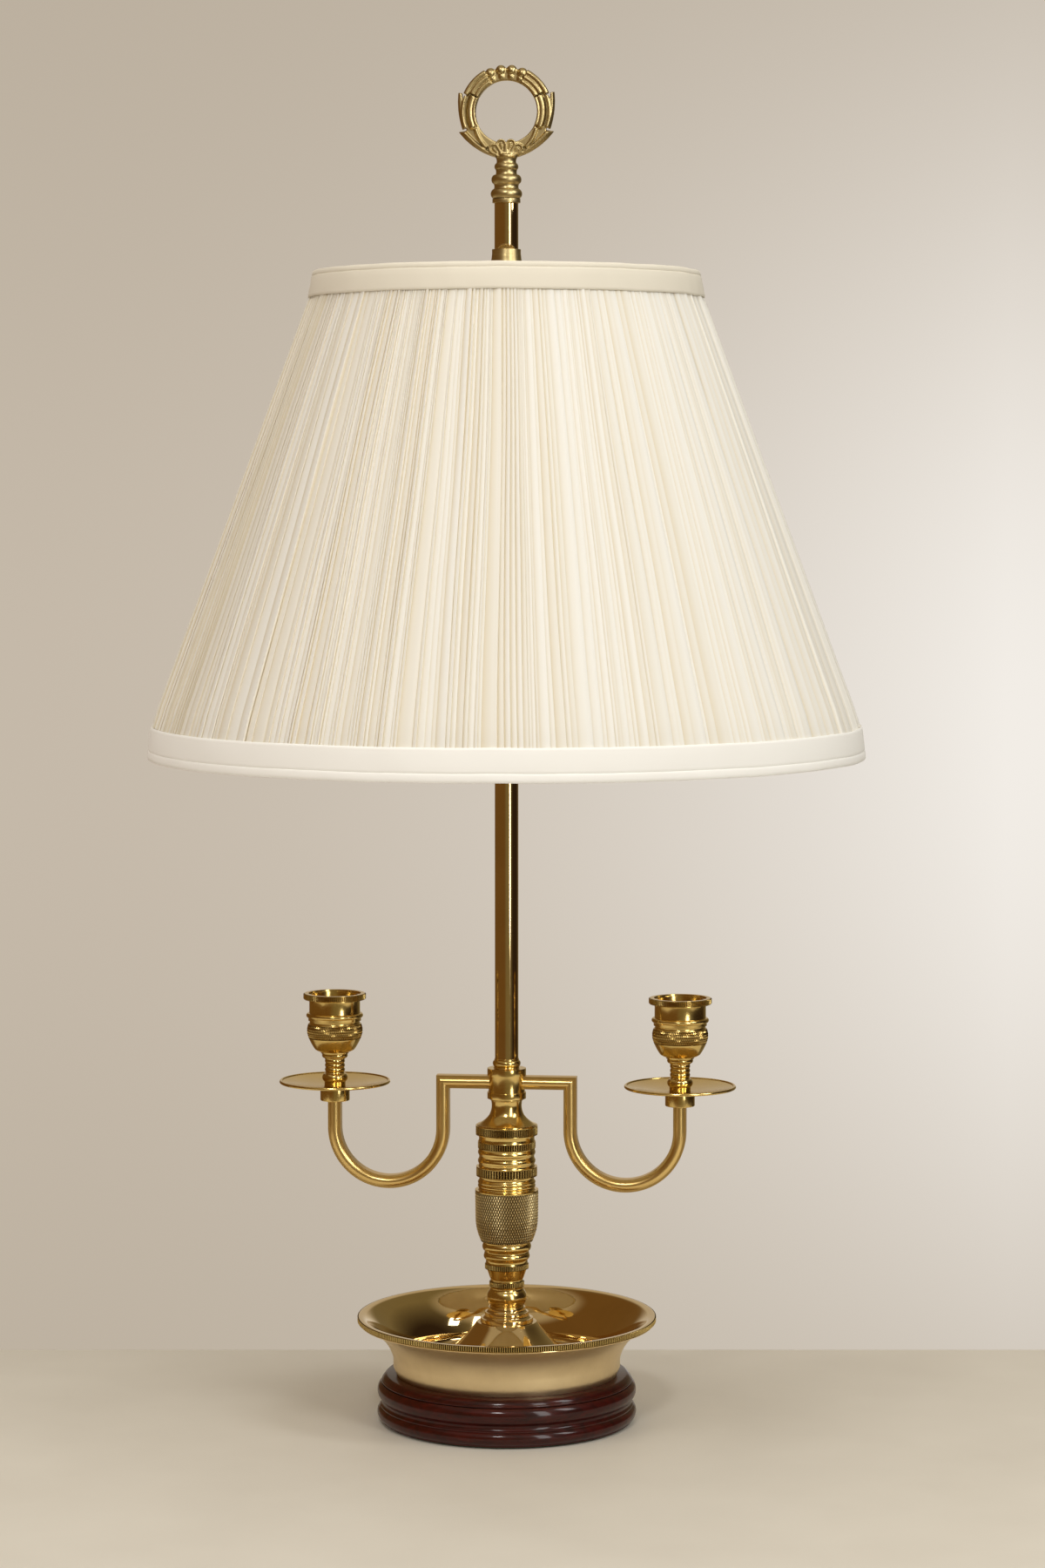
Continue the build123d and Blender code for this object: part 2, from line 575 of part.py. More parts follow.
# ---------------------------------------------------------------------------- arms
def arm_section():
    """Flat-sided bar with a raised half-round reed on its front and its back."""
    side = ARM_SIDE_DEPTH / 2
    edge = side + ARM_REED_STEP
    crest = edge + ARM_REED_CREST
    half = ARM_WIDTH / 2
    reed = ARM_REED_WIDTH / 2
    front = [
        Line((side, -half), (side, -reed)),
        Line((side, -reed), (edge, -reed)),
        ThreePointArc((edge, -reed), (crest, 0), (edge, reed)),
        Line((edge, reed), (side, reed)),
        Line((side, reed), (side, half)),
    ]
    back = [mirror(edge_line, about=Plane.YZ) for edge_line in front]
    ends = [Line((-side, -half), (side, -half)), Line((-side, half), (side, half))]
    return make_face([*front, *back, *ends])


def right_arm():
    """Out from the hub, a mitred corner, down, round the half circle and up."""
    start = (HUB_FLAT_X, 0, ARM_Z)
    corner = (ARM_CORNER_X, 0, ARM_Z)
    bend = (ARM_CORNER_X, 0, ARM_Z - ARM_DROP)
    lowest = (ARM_CORNER_X + ARM_RETURN_RADIUS, 0, ARM_Z - ARM_DROP - ARM_RETURN_RADIUS)
    rise = (ARM_END_X, 0, ARM_Z - ARM_DROP)
    end = (ARM_END_X, 0, ARM_END_Z)
    path = Wire([Line(start, corner), Line(corner, bend),
                 ThreePointArc(bend, lowest, rise), Line(rise, end)])
    across = Plane(origin=start, x_dir=(0, 1, 0), z_dir=(1, 0, 0))
    arm = sweep(across * arm_section(), path, transition=Transition.RIGHT)
    tenon = Plane(origin=start, z_dir=(-1, 0, 0))
    arm += extrude(tenon * Circle(TENON_RADIUS), HUB_FLAT_X - COLUMN_BORE - TENON_GAP)
    return drilled(arm, STUD_RADIUS + RUNNING_FIT, ARM_END_Z - STUD_IN_ARM,
                   STUD_IN_ARM + CUT_OVER, x=ARM_END_X)


def right_collar():
    ring = turned(COLLAR, ARM_END_Z, STUD_RADIUS + RUNNING_FIT)
    ring = chamfer(ring.edges().filter_by(GeomType.CIRCLE).group_by(SortBy.RADIUS)[-1],
                   EDGE_BREAK)
    return Pos(ARM_END_X, 0, 0) * ring


def right_drip_pan():
    """A thin dished disc with a rolled edge."""
    rim = PAN_RADIUS - PAN_BEAD
    hole = STUD_RADIUS + RUNNING_FIT
    outline = Polyline(
        in_section(hole, PAN_Z),
        in_section(PAN_SEAT_RADIUS, PAN_Z),
        in_section(rim, PAN_Z + PAN_RISE),
        in_section(rim, PAN_Z + PAN_RISE + PAN_THICKNESS),
        in_section(PAN_SEAT_RADIUS, PAN_Z + PAN_THICKNESS),
        in_section(hole, PAN_Z + PAN_THICKNESS),
        close=True)
    pan = revolve(make_face(outline), axis=Axis.Z)
    pan += Pos(0, 0, PAN_Z + PAN_RISE + PAN_BEAD) * Torus(rim, PAN_BEAD)
    return Pos(ARM_END_X, 0, 0) * pan


def right_candle_cup():
    cup = turned(CANDLE_CUP, CUP_Z)
    cup = drilled(cup, STUD_RADIUS + RUNNING_FIT, CUP_Z, STUD_IN_CUP)
    cup = drilled(cup, CANDLE_BORE, CUP_TOP - CANDLE_BORE_DEPTH, CANDLE_BORE_DEPTH)
    cup = drilled(cup, CANDLE_MOUTH, CUP_TOP - CANDLE_MOUTH_DEPTH, CANDLE_MOUTH_DEPTH)
    return Pos(ARM_END_X, 0, 0) * cup


def cup_studs():
    foot = ARM_END_Z - STUD_IN_ARM
    stud = tube(STUD_RADIUS, 0.0, foot, CUP_Z + STUD_IN_CUP - foot)
    return Compound(children=[Pos(side * ARM_END_X, 0, 0) * stud for side in (1, -1)])


# ---------------------------------------------------------------------------- harp
def harp_saddle():
    """A flat strip, turned up at both ends, with a pin under each harp leg."""
    strip = Pos(0, 0, SADDLE_Z + SADDLE_THICKNESS / 2) * Box(
        2 * SADDLE_HALF_SPAN + SADDLE_THICKNESS, SADDLE_WIDTH, SADDLE_THICKNESS)
    strip = drilled(strip, COLUMN_BORE, SADDLE_Z, SADDLE_THICKNESS)
    for side in (1, -1):
        x = side * SADDLE_HALF_SPAN
        tab = Box(SADDLE_THICKNESS, SADDLE_WIDTH, SADDLE_TAB)
        strip += Pos(x, 0, SADDLE_Z + SADDLE_TAB / 2) * tab
        strip += Pos(x, 0, SADDLE_Z + SADDLE_TAB + SADDLE_PIN / 2) * Cylinder(
            HARP_WIRE, SADDLE_PIN)
    return strip


def harp_wire():
    """Two bowed legs joined at a flat crown that carries the stud."""
    wire_top = HARP_TOP - HARP_WIRE
    right = [
        (SADDLE_HALF_SPAN, 0, PIN_TOP),
        (SADDLE_HALF_SPAN, 0, PIN_TOP + HARP_LEG),
        (HARP_HALF_WIDTH, 0, PIN_TOP + HARP_SHOULDER_RISE),
        (HARP_HALF_WIDTH, 0, HARP_TOP - HARP_CROWN_DROP),
        (HARP_CROWN_HALF, 0, wire_top),
    ]
    left = [(-x, y, z) for x, y, z in reversed(right)]
    first, second, third, fourth = HARP_BENDS
    bends = [first, second, third, fourth, fourth, third, second, first]
    harp = wire_along(FilletPolyline(*right, *left, radius=bends), HARP_WIRE)
    disc_foot = HARP_TOP - CROWN_DISC_THICKNESS
    harp += tube(CROWN_DISC_RADIUS, 0.0, disc_foot, CROWN_DISC_THICKNESS)
    return drilled(harp, RIVET_RADIUS + RUNNING_FIT, disc_foot - HARP_WIRE,
                   CROWN_DISC_THICKNESS + HARP_WIRE + CUT_OVER)


def harp_ferrule(side):
    bore = HARP_WIRE + RUNNING_FIT
    sleeve = tube(bore + FERRULE_WALL, bore, SADDLE_Z + SADDLE_TAB, FERRULE_LENGTH)
    return Pos(side * SADDLE_HALF_SPAN, 0, 0) * sleeve


def harp_stud():
    flange = tube(HARP_FLANGE_RADIUS, 0.0, HARP_TOP, HARP_FLANGE_THICKNESS)
    thread = tube(HARP_STUD_RADIUS, 0.0, HARP_FLANGE_TOP, HARP_STUD_LENGTH)
    rivet = tube(RIVET_RADIUS, 0.0, HARP_TOP - CROWN_DISC_THICKNESS, CROWN_DISC_THICKNESS)
    return flange + thread + rivet


# ---------------------------------------------------------------- socket and switch
def switch_plane(distance):
    """Plane across the switch's axis, this far in front of the lamp's axis."""
    return Plane(origin=(0, -distance, SWITCH_Z), z_dir=(0, -1, 0))


def switch_mouth():
    """The hole through shell and liner that the switch's shaft comes out of."""
    start = switch_plane(SHELL_RADIUS - SWITCH_MOUTH_DEPTH / 2)
    return extrude(start * Circle(SWITCH_SHAFT_RADIUS + SWITCH_MOUTH_GAP),
                   SWITCH_MOUTH_DEPTH)


def socket_cap():
    outside = [
        land(SOCKET_CAP_HUB_HEIGHT, SOCKET_CAP_HUB),
        curve(SOCKET_CAP_FLARE, SOCKET_CAP_HUB, SOCKET_CAP_MIDDLE, SOCKET_CAP_RADIUS),
        land(SOCKET_CAP_SKIRT, SOCKET_CAP_RADIUS),
    ]
    cap = turned(outside, SOCKET_Z, COLUMN_BORE)
    hollow_foot = SOCKET_Z + SOCKET_CAP_HUB_HEIGHT + SOCKET_SHEET
    hollow = [
        curve(SOCKET_CAP_FLARE - SOCKET_SHEET, SOCKET_CAP_HUB - SOCKET_SHEET,
              SOCKET_CAP_MIDDLE - SOCKET_SHEET, SOCKET_CAP_RADIUS - SOCKET_SHEET),
        land(SOCKET_CAP_SKIRT, SOCKET_CAP_RADIUS - SOCKET_SHEET),
    ]
    return cap - turned(hollow, hollow_foot)


def socket_shell():
    shell = tube(SHELL_RADIUS, SHELL_RADIUS - SOCKET_SHEET, SHELL_BOTTOM,
                 SOCKET_SHELL_LENGTH)
    return shell - switch_mouth()


def socket_liner():
    radius = SHELL_RADIUS - SOCKET_SHEET - SKIN_GAP / 2
    liner = tube(radius, radius - SOCKET_LINER, SHELL_BOTTOM,
                 SOCKET_SHELL_LENGTH - SOCKET_LINER_SHORT)
    return liner - switch_mouth()


def socket_body():
    body = tube(SOCKET_BODY_RADIUS, 0.0, SHELL_BOTTOM, SOCKET_BODY_HEIGHT)
    hole = switch_plane(SOCKET_BODY_RADIUS - SWITCH_SHAFT_DEPTH)
    return body - extrude(hole * Circle(SWITCH_SHAFT_RADIUS + RUNNING_FIT),
                          SWITCH_SHAFT_DEPTH + CUT_OVER)


def screw_shell():
    cup = tube(SCREW_SHELL_BORE + SOCKET_SHEET, SCREW_SHELL_BORE, SCREW_SHELL_Z,
               SCREW_SHELL_HEIGHT)
    return cup + tube(SCREW_SHELL_BORE + SOCKET_SHEET, 0.0, SCREW_SHELL_Z, SOCKET_SHEET / 2)


def switch_shaft():
    inner = SOCKET_BODY_RADIUS - SWITCH_SHAFT_DEPTH + RUNNING_FIT
    outer = SHELL_RADIUS + SWITCH_SHAFT_REACH
    return extrude(switch_plane(inner) * Circle(SWITCH_SHAFT_RADIUS), outer - inner)


def switch_knob():
    """A fluted turn knob pressed on the shaft's end."""
    outer = SHELL_RADIUS + SWITCH_SHAFT_REACH
    face = switch_plane(outer - SWITCH_KNOB_LENGTH)
    outline = Circle(SWITCH_KNOB_RADIUS) - Circle(SWITCH_SHAFT_RADIUS)
    outline -= [Pos(SWITCH_KNOB_RADIUS * cos(radians(360 * n / SWITCH_KNOB_FLUTES)),
                    SWITCH_KNOB_RADIUS * sin(radians(360 * n / SWITCH_KNOB_FLUTES)))
                * Circle(SWITCH_FLUTE_RADIUS) for n in range(SWITCH_KNOB_FLUTES)]
    knob = extrude(face * outline, SWITCH_KNOB_LENGTH)
    cover = switch_plane(outer) * Circle(SWITCH_KNOB_RADIUS - SWITCH_FLUTE_RADIUS)
    return knob + extrude(cover, SWITCH_KNOB_COVER)


def bulb_cap():
    tip = tube(BULB_TIP_RADIUS, 0.0, BULB_Z, BULB_TIP_HEIGHT)
    return tip + tube(BULB_CAP_RADIUS, 0.0, BULB_Z + BULB_TIP_HEIGHT,
                      BULB_CAP_HEIGHT)


def bulb_glass():
    """A round globe on a tapering neck, one thin glass wall."""
    foot = BULB_Z + BULB_TIP_HEIGHT + BULB_CAP_HEIGHT
    centre = foot + BULB_NECK_LENGTH + BULB_RADIUS * DIAGONAL

    def envelope(wall):
        globe = BULB_RADIUS - wall
        neck = BULB_NECK_RADIUS - wall
        join = in_section(globe * DIAGONAL, centre - globe * DIAGONAL)
        side = ThreePointArc(in_section(neck, foot + wall),
                             in_section(BULB_NECK_MIDDLE - wall, foot + BULB_NECK_LENGTH / 2),
                             join)
        dome = ThreePointArc(join, in_section(globe, centre), in_section(0, centre + globe))
        close_up = Polyline(in_section(0, centre + globe), in_section(0, foot + wall),
                            in_section(neck, foot + wall))
        return revolve(make_face([side, dome, close_up]), axis=Axis.Z)

    return envelope(0.0) - envelope(BULB_GLASS)


# --------------------------------------------------------------------------- shade
def shade_spider():
    """Top ring, three arms and the washer that the harp's stud passes through."""
    ring_radius = SHADE_TOP_RADIUS - RING_OFFSET
    washer_z = HARP_FLANGE_TOP + SPIDER_WASHER_THICKNESS / 2
    spider = Pos(0, 0, TOP_RING_Z) * Torus(ring_radius, SHADE_WIRE)
    spider += tube(SPIDER_WASHER_RADIUS, 0.0, HARP_FLANGE_TOP, SPIDER_WASHER_THICKNESS)
    root = SPIDER_WASHER_RADIUS - SPIDER_WIRE
    knee = SPIDER_WASHER_RADIUS + SPIDER_KNEE
    for n in range(SPIDER_ARMS):
        path = Polyline((root, 0, washer_z), (knee, 0, washer_z + SPIDER_WIRE / 2),
                        (ring_radius, 0, TOP_RING_Z))
        turn = Rot(0, 0, SPIDER_FIRST_ARM + 360 * n / SPIDER_ARMS)
        spider += turn * wire_along(path, SPIDER_WIRE)
    return drilled(spider, HARP_STUD_RADIUS + SPIDER_BORE_GAP, HARP_FLANGE_TOP - CUT_OVER,
                   SPIDER_WASHER_THICKNESS + 2 * CUT_OVER)


def shade_bottom_ring():
    ring_radius = SHADE_BOTTOM_RADIUS - RING_OFFSET
    return Pos(0, 0, SHADE_BOTTOM + SHADE_WIRE) * Torus(ring_radius, SHADE_WIRE)


def shade_cover():
    return skin(SHADE_OUTLINE, FABRIC_THICKNESS)


def shade_lining():
    return skin(moved_in(SHADE_OUTLINE, LINING_OFFSET), LINING_THICKNESS)


def shade_bottom_band():
    return skin(moved_in(SHADE_OUTLINE[:2], -BAND_THICKNESS), BAND_THICKNESS)


def shade_top_band():
    return skin(moved_in(SHADE_OUTLINE[2:], -BAND_THICKNESS), BAND_THICKNESS)


# -------------------------------------------------------------------------- finial
def riser_collar():
    collar = turned(RISER_COLLAR, RISER_Z, HARP_STUD_RADIUS + SPIDER_BORE_GAP)
    return drilled(collar, RISER_SPIGOT_RADIUS + RUNNING_FIT,
                   RISER_TUBE_Z - RISER_SPIGOT_LENGTH, RISER_SPIGOT_LENGTH)


def riser_tube():
    """Tapped at its foot for the harp's stud, with a spigot that centres the collar."""
    riser = turned(RISER_TUBE, RISER_TUBE_Z)
    riser += tube(RISER_SPIGOT_RADIUS, 0.0, RISER_TUBE_Z - RISER_SPIGOT_LENGTH,
                  RISER_SPIGOT_LENGTH)
    riser = drilled(riser, HARP_STUD_RADIUS + RUNNING_FIT,
                    RISER_TUBE_Z - RISER_SPIGOT_LENGTH, FINIAL_THREAD_DEPTH)
    return drilled(riser, FINIAL_DOWEL_RADIUS + RUNNING_FIT, FINIAL_Z - FINIAL_DOWEL_LENGTH,
                   FINIAL_DOWEL_LENGTH)


def finial_stem():
    stem = turned(FINIAL_STEM, FINIAL_Z)
    stem += tube(FINIAL_DOWEL_RADIUS, 0.0, FINIAL_Z - FINIAL_DOWEL_LENGTH,
                 FINIAL_DOWEL_LENGTH)
    return drilled(stem, FINIAL_DOWEL_RADIUS + RUNNING_FIT, WREATH_Z - FINIAL_DOWEL_LENGTH,
                   FINIAL_DOWEL_LENGTH)


def in_wreath(point, depth=0.0):
    """A point of the wreath's plane, from the ring's centre."""
    across, up = point
    return (across, depth, WREATH_Z + WREATH_CENTRE + up)


def on_ring(radius, angle):
    """A point at a distance and an angle from the ring's centre."""
    return (radius * cos(radians(angle)), radius * sin(radians(angle)))


def wreath_bar(points, radius, crest):
    """A round bar through three points, once on the front and once on the back."""
    path = ThreePointArc(*(in_wreath(point) for point in points))
    bar = wire_along(path, radius)
    return [Pos(0, side * (crest - radius), 0) * bar for side in (1, -1)]


def wreath_blade(outline, face, depth):
    """A leaf that rises from its outline to a narrower face, on the front and back."""
    halves = []
    for side in (1, -1):
        sections = []
        for points, level in ((outline, 0.0), (face, side * depth)):
            spots = [in_wreath(point, level) for point in points]
            sections.append(make_face([
                ThreePointArc(*spots[:3]), Line(spots[2], spots[3]),
                ThreePointArc(*spots[3:]), Line(spots[5], spots[0])]))
        halves.append(loft(sections, ruled=True))
    return halves


def wreath_side():
    """Reeds, bud, sheath, leaf and tendril of the right half."""
    pieces = []
    for ring, reed, low, high in WREATH_REEDS:
        arc = [on_ring(ring, angle) for angle in (low, (low + high) / 2, high)]
        pieces += wreath_bar(arc, reed, WREATH_CREST)
    ring, bud, angle = BUDS
    for side in (1, -1):
        depth = side * (WREATH_CREST - bud)
        pieces.append(Pos(*in_wreath(on_ring(ring, angle), depth)) * Sphere(bud))
    pieces += wreath_blade(LEAF, LEAF_RIDGE, LEAF_DEPTH)
    pieces += wreath_blade(SHEATH, SHEATH_FACE, SHEATH_DEPTH)
    pieces += wreath_bar(TENDRIL, TENDRIL_RADIUS, WREATH_CREST)
    return pieces


def fan_petal(ends):
    """Teardrop from a small foot to a wide tip, pointing along X."""
    circles = [Pos(distance, 0) * Circle(half_width) for distance, half_width in ends]
    return make_hull([edge for circle in circles for edge in circle.edges()])


def wreath_fan():
    """Palmette: hollowed lobes, each with a rib down its middle."""
    centre = Vector(0, 0, WREATH_Z + FAN_CENTRE)
    lobes = []
    for angle in FAN_ANGLES:
        plane = Plane(origin=centre, x_dir=(1, 0, 0), z_dir=(0, -1, 0)) * Rot(0, 0, angle)
        lobe = extrude(plane * fan_petal(FAN_LOBE), FAN_DEPTH, both=True)
        for side in (1, -1):
            floor = side * (FAN_DEPTH - FAN_GROOVE_DEPTH)
            groove = plane * Pos(0, 0, floor) * fan_petal(FAN_GROOVE)
            lobe -= extrude(groove, side * (FAN_GROOVE_DEPTH + CUT_OVER))
        lobe += extrude(plane * fan_petal(FAN_RIB), FAN_RIB_DEPTH, both=True)
        lobes.append(lobe)
    return lobes


def finial_wreath():
    """Web, reeds, pearls and leaves, cut level over the stem, with a boss and a dowel."""
    outer, thickness = WREATH_WEB
    web = Pos((WREATH_INNER + outer) / 2, 0) * Rectangle(outer - WREATH_INNER, thickness)
    wreath = Pos(*in_wreath((0, 0))) * revolve(web, axis=Axis.Y)
    pieces = wreath_side()
    pieces += [mirrored(piece) for piece in pieces]
    for ring, radius in PEARL_ROWS:
        pieces += [Pos(*in_wreath(on_ring(ring, angle))) * Sphere(radius)
                   for angle in PEARL_ANGLES]
    pieces += wreath_fan()
    pieces += wreath_bar(CRESCENT, CRESCENT_RADIUS, FAN_DEPTH)
    wreath += pieces
    reach = 2 * outer
    wreath -= Pos(0, 0, WREATH_Z - reach / 2) * Box(2 * reach, reach, reach)
    seat_radius, seat_height = WREATH_SEAT
    wreath += tube(seat_radius, 0.0, WREATH_Z, seat_height)
    return wreath + tube(FINIAL_DOWEL_RADIUS, 0.0, WREATH_Z - FINIAL_DOWEL_LENGTH,
                         FINIAL_DOWEL_LENGTH + seat_height)


# ------------------------------------------------------------------------ all nodes
def build_nodes():
    """Every node's name and its solid or solids."""
    nodes = {
        "felt_pad": felt_pad(),
        "wood_base": wood_base(),
        "cord_bushing": cord_bushing(),
        "base_washer": base_washer(),
        "base_nut": base_nut(),
        "drip_tray": drip_tray(),
        "cone_foot": turned(CONE_FOOT, CONE_Z, COLUMN_BORE),
        "knop": turned(KNOP, KNOP_Z, COLUMN_BORE),
        "lower_reel": turned(LOWER_REEL, LOWER_REEL_Z, COLUMN_BORE),
        "knurled_drum": turned(KNURLED_DRUM, DRUM_Z, COLUMN_BORE),
        "ribbed_reel": turned(RIBBED_REEL, RIBBED_REEL_Z, COLUMN_BORE),
        "neck": turned(NECK, NECK_Z, COLUMN_BORE),
        "arm_hub": arm_hub(),
        "stem_check_ring": turned(CHECK_RING, CHECK_RING_Z, COLUMN_BORE),
        "stem_tube": stem_tube(),
        "threaded_rod": threaded_rod(),
        "cup_studs": cup_studs(),
        "harp_saddle": harp_saddle(),
        "harp_wire": harp_wire(),
        "right_harp_ferrule": harp_ferrule(1),
        "left_harp_ferrule": harp_ferrule(-1),
        "harp_stud": harp_stud(),
        "socket_cap": socket_cap(),
        "socket_shell": socket_shell(),
        "socket_liner": socket_liner(),
        "socket_body": socket_body(),
        "screw_shell": screw_shell(),
        "switch_shaft": switch_shaft(),
        "switch_knob": switch_knob(),
        "bulb_cap": bulb_cap(),
        "bulb_glass": bulb_glass(),
        "shade_spider": shade_spider(),
        "shade_bottom_ring": shade_bottom_ring(),
        "shade_cover": shade_cover(),
        "shade_lining": shade_lining(),
        "shade_bottom_band": shade_bottom_band(),
        "shade_top_band": shade_top_band(),
        "riser_collar": riser_collar(),
        "riser_tube": riser_tube(),
        "finial_stem": finial_stem(),
        "finial_wreath": finial_wreath(),
    }
    for name, piece in (("arm", right_arm()), ("collar", right_collar()),
                        ("drip_pan", right_drip_pan()), ("candle_cup", right_candle_cup())):
        nodes[f"right_{name}"] = piece
        nodes[f"left_{name}"] = mirrored(piece)
    return nodes


os.makedirs("parts", exist_ok=True)
for node_name, node_shape in build_nodes().items():
    export_step(node_shape, f"parts/{node_name}.step")
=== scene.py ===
"""Bouillotte lamp: the finished look of every piece, built round its packed frame.

Metres, +Z up, in the frame's own axes. The column stands on the Z axis, the two candle
arms run along X and the cord inlet is at the back, at +Y.
"""
import json
from math import atan2, cos, hypot, pi, radians, sin
from random import Random

import bmesh
import bpy
from bpy.props import FloatProperty, FloatVectorProperty, IntProperty, PointerProperty
from mathutils import Matrix, Vector, noise

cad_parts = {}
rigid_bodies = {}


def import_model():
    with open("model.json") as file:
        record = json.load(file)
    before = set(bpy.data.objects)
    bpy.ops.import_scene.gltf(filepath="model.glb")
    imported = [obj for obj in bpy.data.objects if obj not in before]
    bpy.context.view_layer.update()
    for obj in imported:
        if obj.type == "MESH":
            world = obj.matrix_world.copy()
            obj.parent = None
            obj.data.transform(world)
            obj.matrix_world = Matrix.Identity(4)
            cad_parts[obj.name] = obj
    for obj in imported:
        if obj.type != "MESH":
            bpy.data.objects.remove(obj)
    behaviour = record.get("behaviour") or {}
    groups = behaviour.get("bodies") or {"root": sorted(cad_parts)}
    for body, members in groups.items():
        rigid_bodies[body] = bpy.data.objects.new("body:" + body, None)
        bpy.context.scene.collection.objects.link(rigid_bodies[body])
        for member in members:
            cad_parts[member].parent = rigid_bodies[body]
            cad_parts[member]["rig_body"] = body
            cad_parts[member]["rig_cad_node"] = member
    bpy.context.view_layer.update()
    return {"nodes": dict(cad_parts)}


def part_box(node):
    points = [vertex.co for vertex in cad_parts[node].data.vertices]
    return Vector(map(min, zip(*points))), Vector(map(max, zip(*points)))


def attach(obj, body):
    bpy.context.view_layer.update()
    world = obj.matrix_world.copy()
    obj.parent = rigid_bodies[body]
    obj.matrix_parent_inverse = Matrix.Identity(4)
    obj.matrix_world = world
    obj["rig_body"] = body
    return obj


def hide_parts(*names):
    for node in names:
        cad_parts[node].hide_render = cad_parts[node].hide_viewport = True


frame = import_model()

bl_info = {
    "name": "Bouillotte lamp",
    "version": (1, 0, 0),
    "blender": (4, 5, 0),
    "location": "View3D > Sidebar > Lamp",
    "description": "Turned brass lamp with two candle arms and a pleated shade",
    "category": "Object",
}

MM = 0.001
WELD = 0.002 * MM           # points nearer than this are one
SMOOTH_ANGLE = radians(32)


def linear(colour):
    """An sRGB hex colour as linear red, green and blue."""
    levels = [int(colour[i:i + 2], 16) / 255 for i in (1, 3, 5)]
    return tuple(v / 12.92 if v <= 0.04045 else ((v + 0.055) / 1.055) ** 2.4
                 for v in levels)


def colour_of(name, description, colour):
    return FloatVectorProperty(name=name, description=description, subtype="COLOR",
                               size=3, min=0.0, max=1.0, default=linear(colour))


def length_of(name, description, millimetres):
    return FloatProperty(name=name, description=description, subtype="DISTANCE",
                         unit="LENGTH", min=0.0, default=millimetres * MM)


def power_of(name, description, watts):
    return FloatProperty(name=name, description=description, unit="POWER", min=0.0,
                         default=watts)


# ---------------------------------------------------------------------------- settings
class LampStage(bpy.types.PropertyGroup):
    """Camera, room and lights."""
    distance: length_of("Camera distance", "From the lamp's axis", 1917)
    height: length_of("Camera height", "Above the table top", 468)
    sideways: length_of("Camera shift", "To the right of the lamp's axis", 7.9)
    azimuth: FloatProperty(name="Camera azimuth", description="Round the lamp, to the right",
                           subtype="ANGLE", unit="ROTATION", default=radians(6))
    pitch: FloatProperty(name="Camera pitch", description="Downwards from level",
                         subtype="ANGLE", unit="ROTATION", default=radians(4.4))
    lens: FloatProperty(name="Lens", description="Focal length in millimetres",
                        unit="CAMERA", default=88.8)
    table_reach: length_of("Table behind the lamp", "From the axis to its far edge", 160)
    table_front: length_of("Table before the lamp", "From the axis to its near edge", 450)
    wall_low: colour_of("Wall, shaded", "Pale plaster out of the light", "#B9AD9C")
    wall_left: colour_of("Wall, left", "Pale plaster away from the light", "#C5B9A9")
    wall_right: colour_of("Wall, right", "Pale plaster near the light", "#F2EDE6")
    room_left: colour_of("Room, left", "Wood and shadow left of the camera", "#6B4F2B")
    room_middle: colour_of("Room, middle", "What is behind the camera", "#776B4F")
    room_right: colour_of("Room, right", "The dark corner at the right", "#30241A")
    ceiling: colour_of("Ceiling", "Dim plaster overhead", "#AA9E8C")
    table: colour_of("Table top", "Pale paper on the table", "#E3DDCF")
    table_mottle: colour_of("Table mottle", "Greyer clouds in the paper", "#A79C8A")
    window_power: power_of("Window", "Bright pane at the right", 11.5)
    curtain_power: power_of("Curtain", "Dimmer pane beside the window", 6.5)
    bounce_power: power_of("Bounce", "Light thrown back by the room", 13.0)
    skylight_power: power_of("Skylight", "Soft light from above", 16.0)
    fill_light_power: power_of("Fill light", "Round light above the camera", 7.9)


class LampBrass(bpy.types.PropertyGroup):
    """Brass finishes."""
    polished: colour_of("Polished brass", "Buffed on the lathe", "#E9CB80")
    mirror: colour_of("Mirror brass", "Tube and tray, highly polished", "#ECD199")
    bar: colour_of("Bar brass", "Extruded and hand polished", "#F0CF86")
    satin: colour_of("Satin brass", "Brushed on the lathe", "#F1DBAE")
    aged: colour_of("Aged crests", "Worn tops of the knurls", "#EFD9A2")
    antique: colour_of("Antique brass", "Cast and toned", "#DBC68F")
    tarnish: colour_of("Tarnish", "Brown film on old brass", "#8A6A30")
    # the groove colour is also the painted shade that ambient occlusion lays in the brass's
    # corners
    groove: colour_of("Groove", "Dirt in grooves and knurls", "#3E2C12")
    root: colour_of("Clean root", "Roots of the cups' knurls", "#84632C")
    corner: length_of("Corner", "Radius on turned edges", 0.22)


class LampKnurls(bpy.types.PropertyGroup):
    """Knurled bands."""
    depth: length_of("Depth", "From crest to groove", 0.36)
    diamond: length_of("Diamond width", "Round the drum", 1.35)
    fine_diamond: length_of("Fine diamond width", "Round the cups", 1.05)
    rim: length_of("Tray rim pitch", "One ridge of the tray's rim", 1.12)
    lip: length_of("Lip", "Run-out at both ends of a straight knurl", 0.25)


class LampShade(bpy.types.PropertyGroup):
    """Pleated shade."""
    ivory: colour_of("Ivory", "Single cloth", "#F7F5ED")
    # the fold colour is also the painted shade in the pleats' valleys
    fold: colour_of("Fold", "Doubled cloth in the folds", "#E4D9BF")
    # the tapes are one cloth: the bottom tape is painted lighter for the light it catches,
    # the top tape darker and yellower as painted shade
    tape: colour_of("Tape", "Cloth of the bottom band", "#FFFDF6")
    top_tape: colour_of("Top tape", "Yellower cloth of the top band", "#EFE8D6")
    inside: colour_of("Lining", "Cloth inside the shade", "#F0EADC")
    pleat: length_of("Pleat", "Mean pleat width at the bottom", 3.4)
    rise: length_of("Pleat rise", "Height of a pleat's fold", 0.9)
    thread: length_of("Thread", "Spacing of the weave", 0.55)
    seed: IntProperty(name="Seed", description="Picks the uneven pleats", default=7)


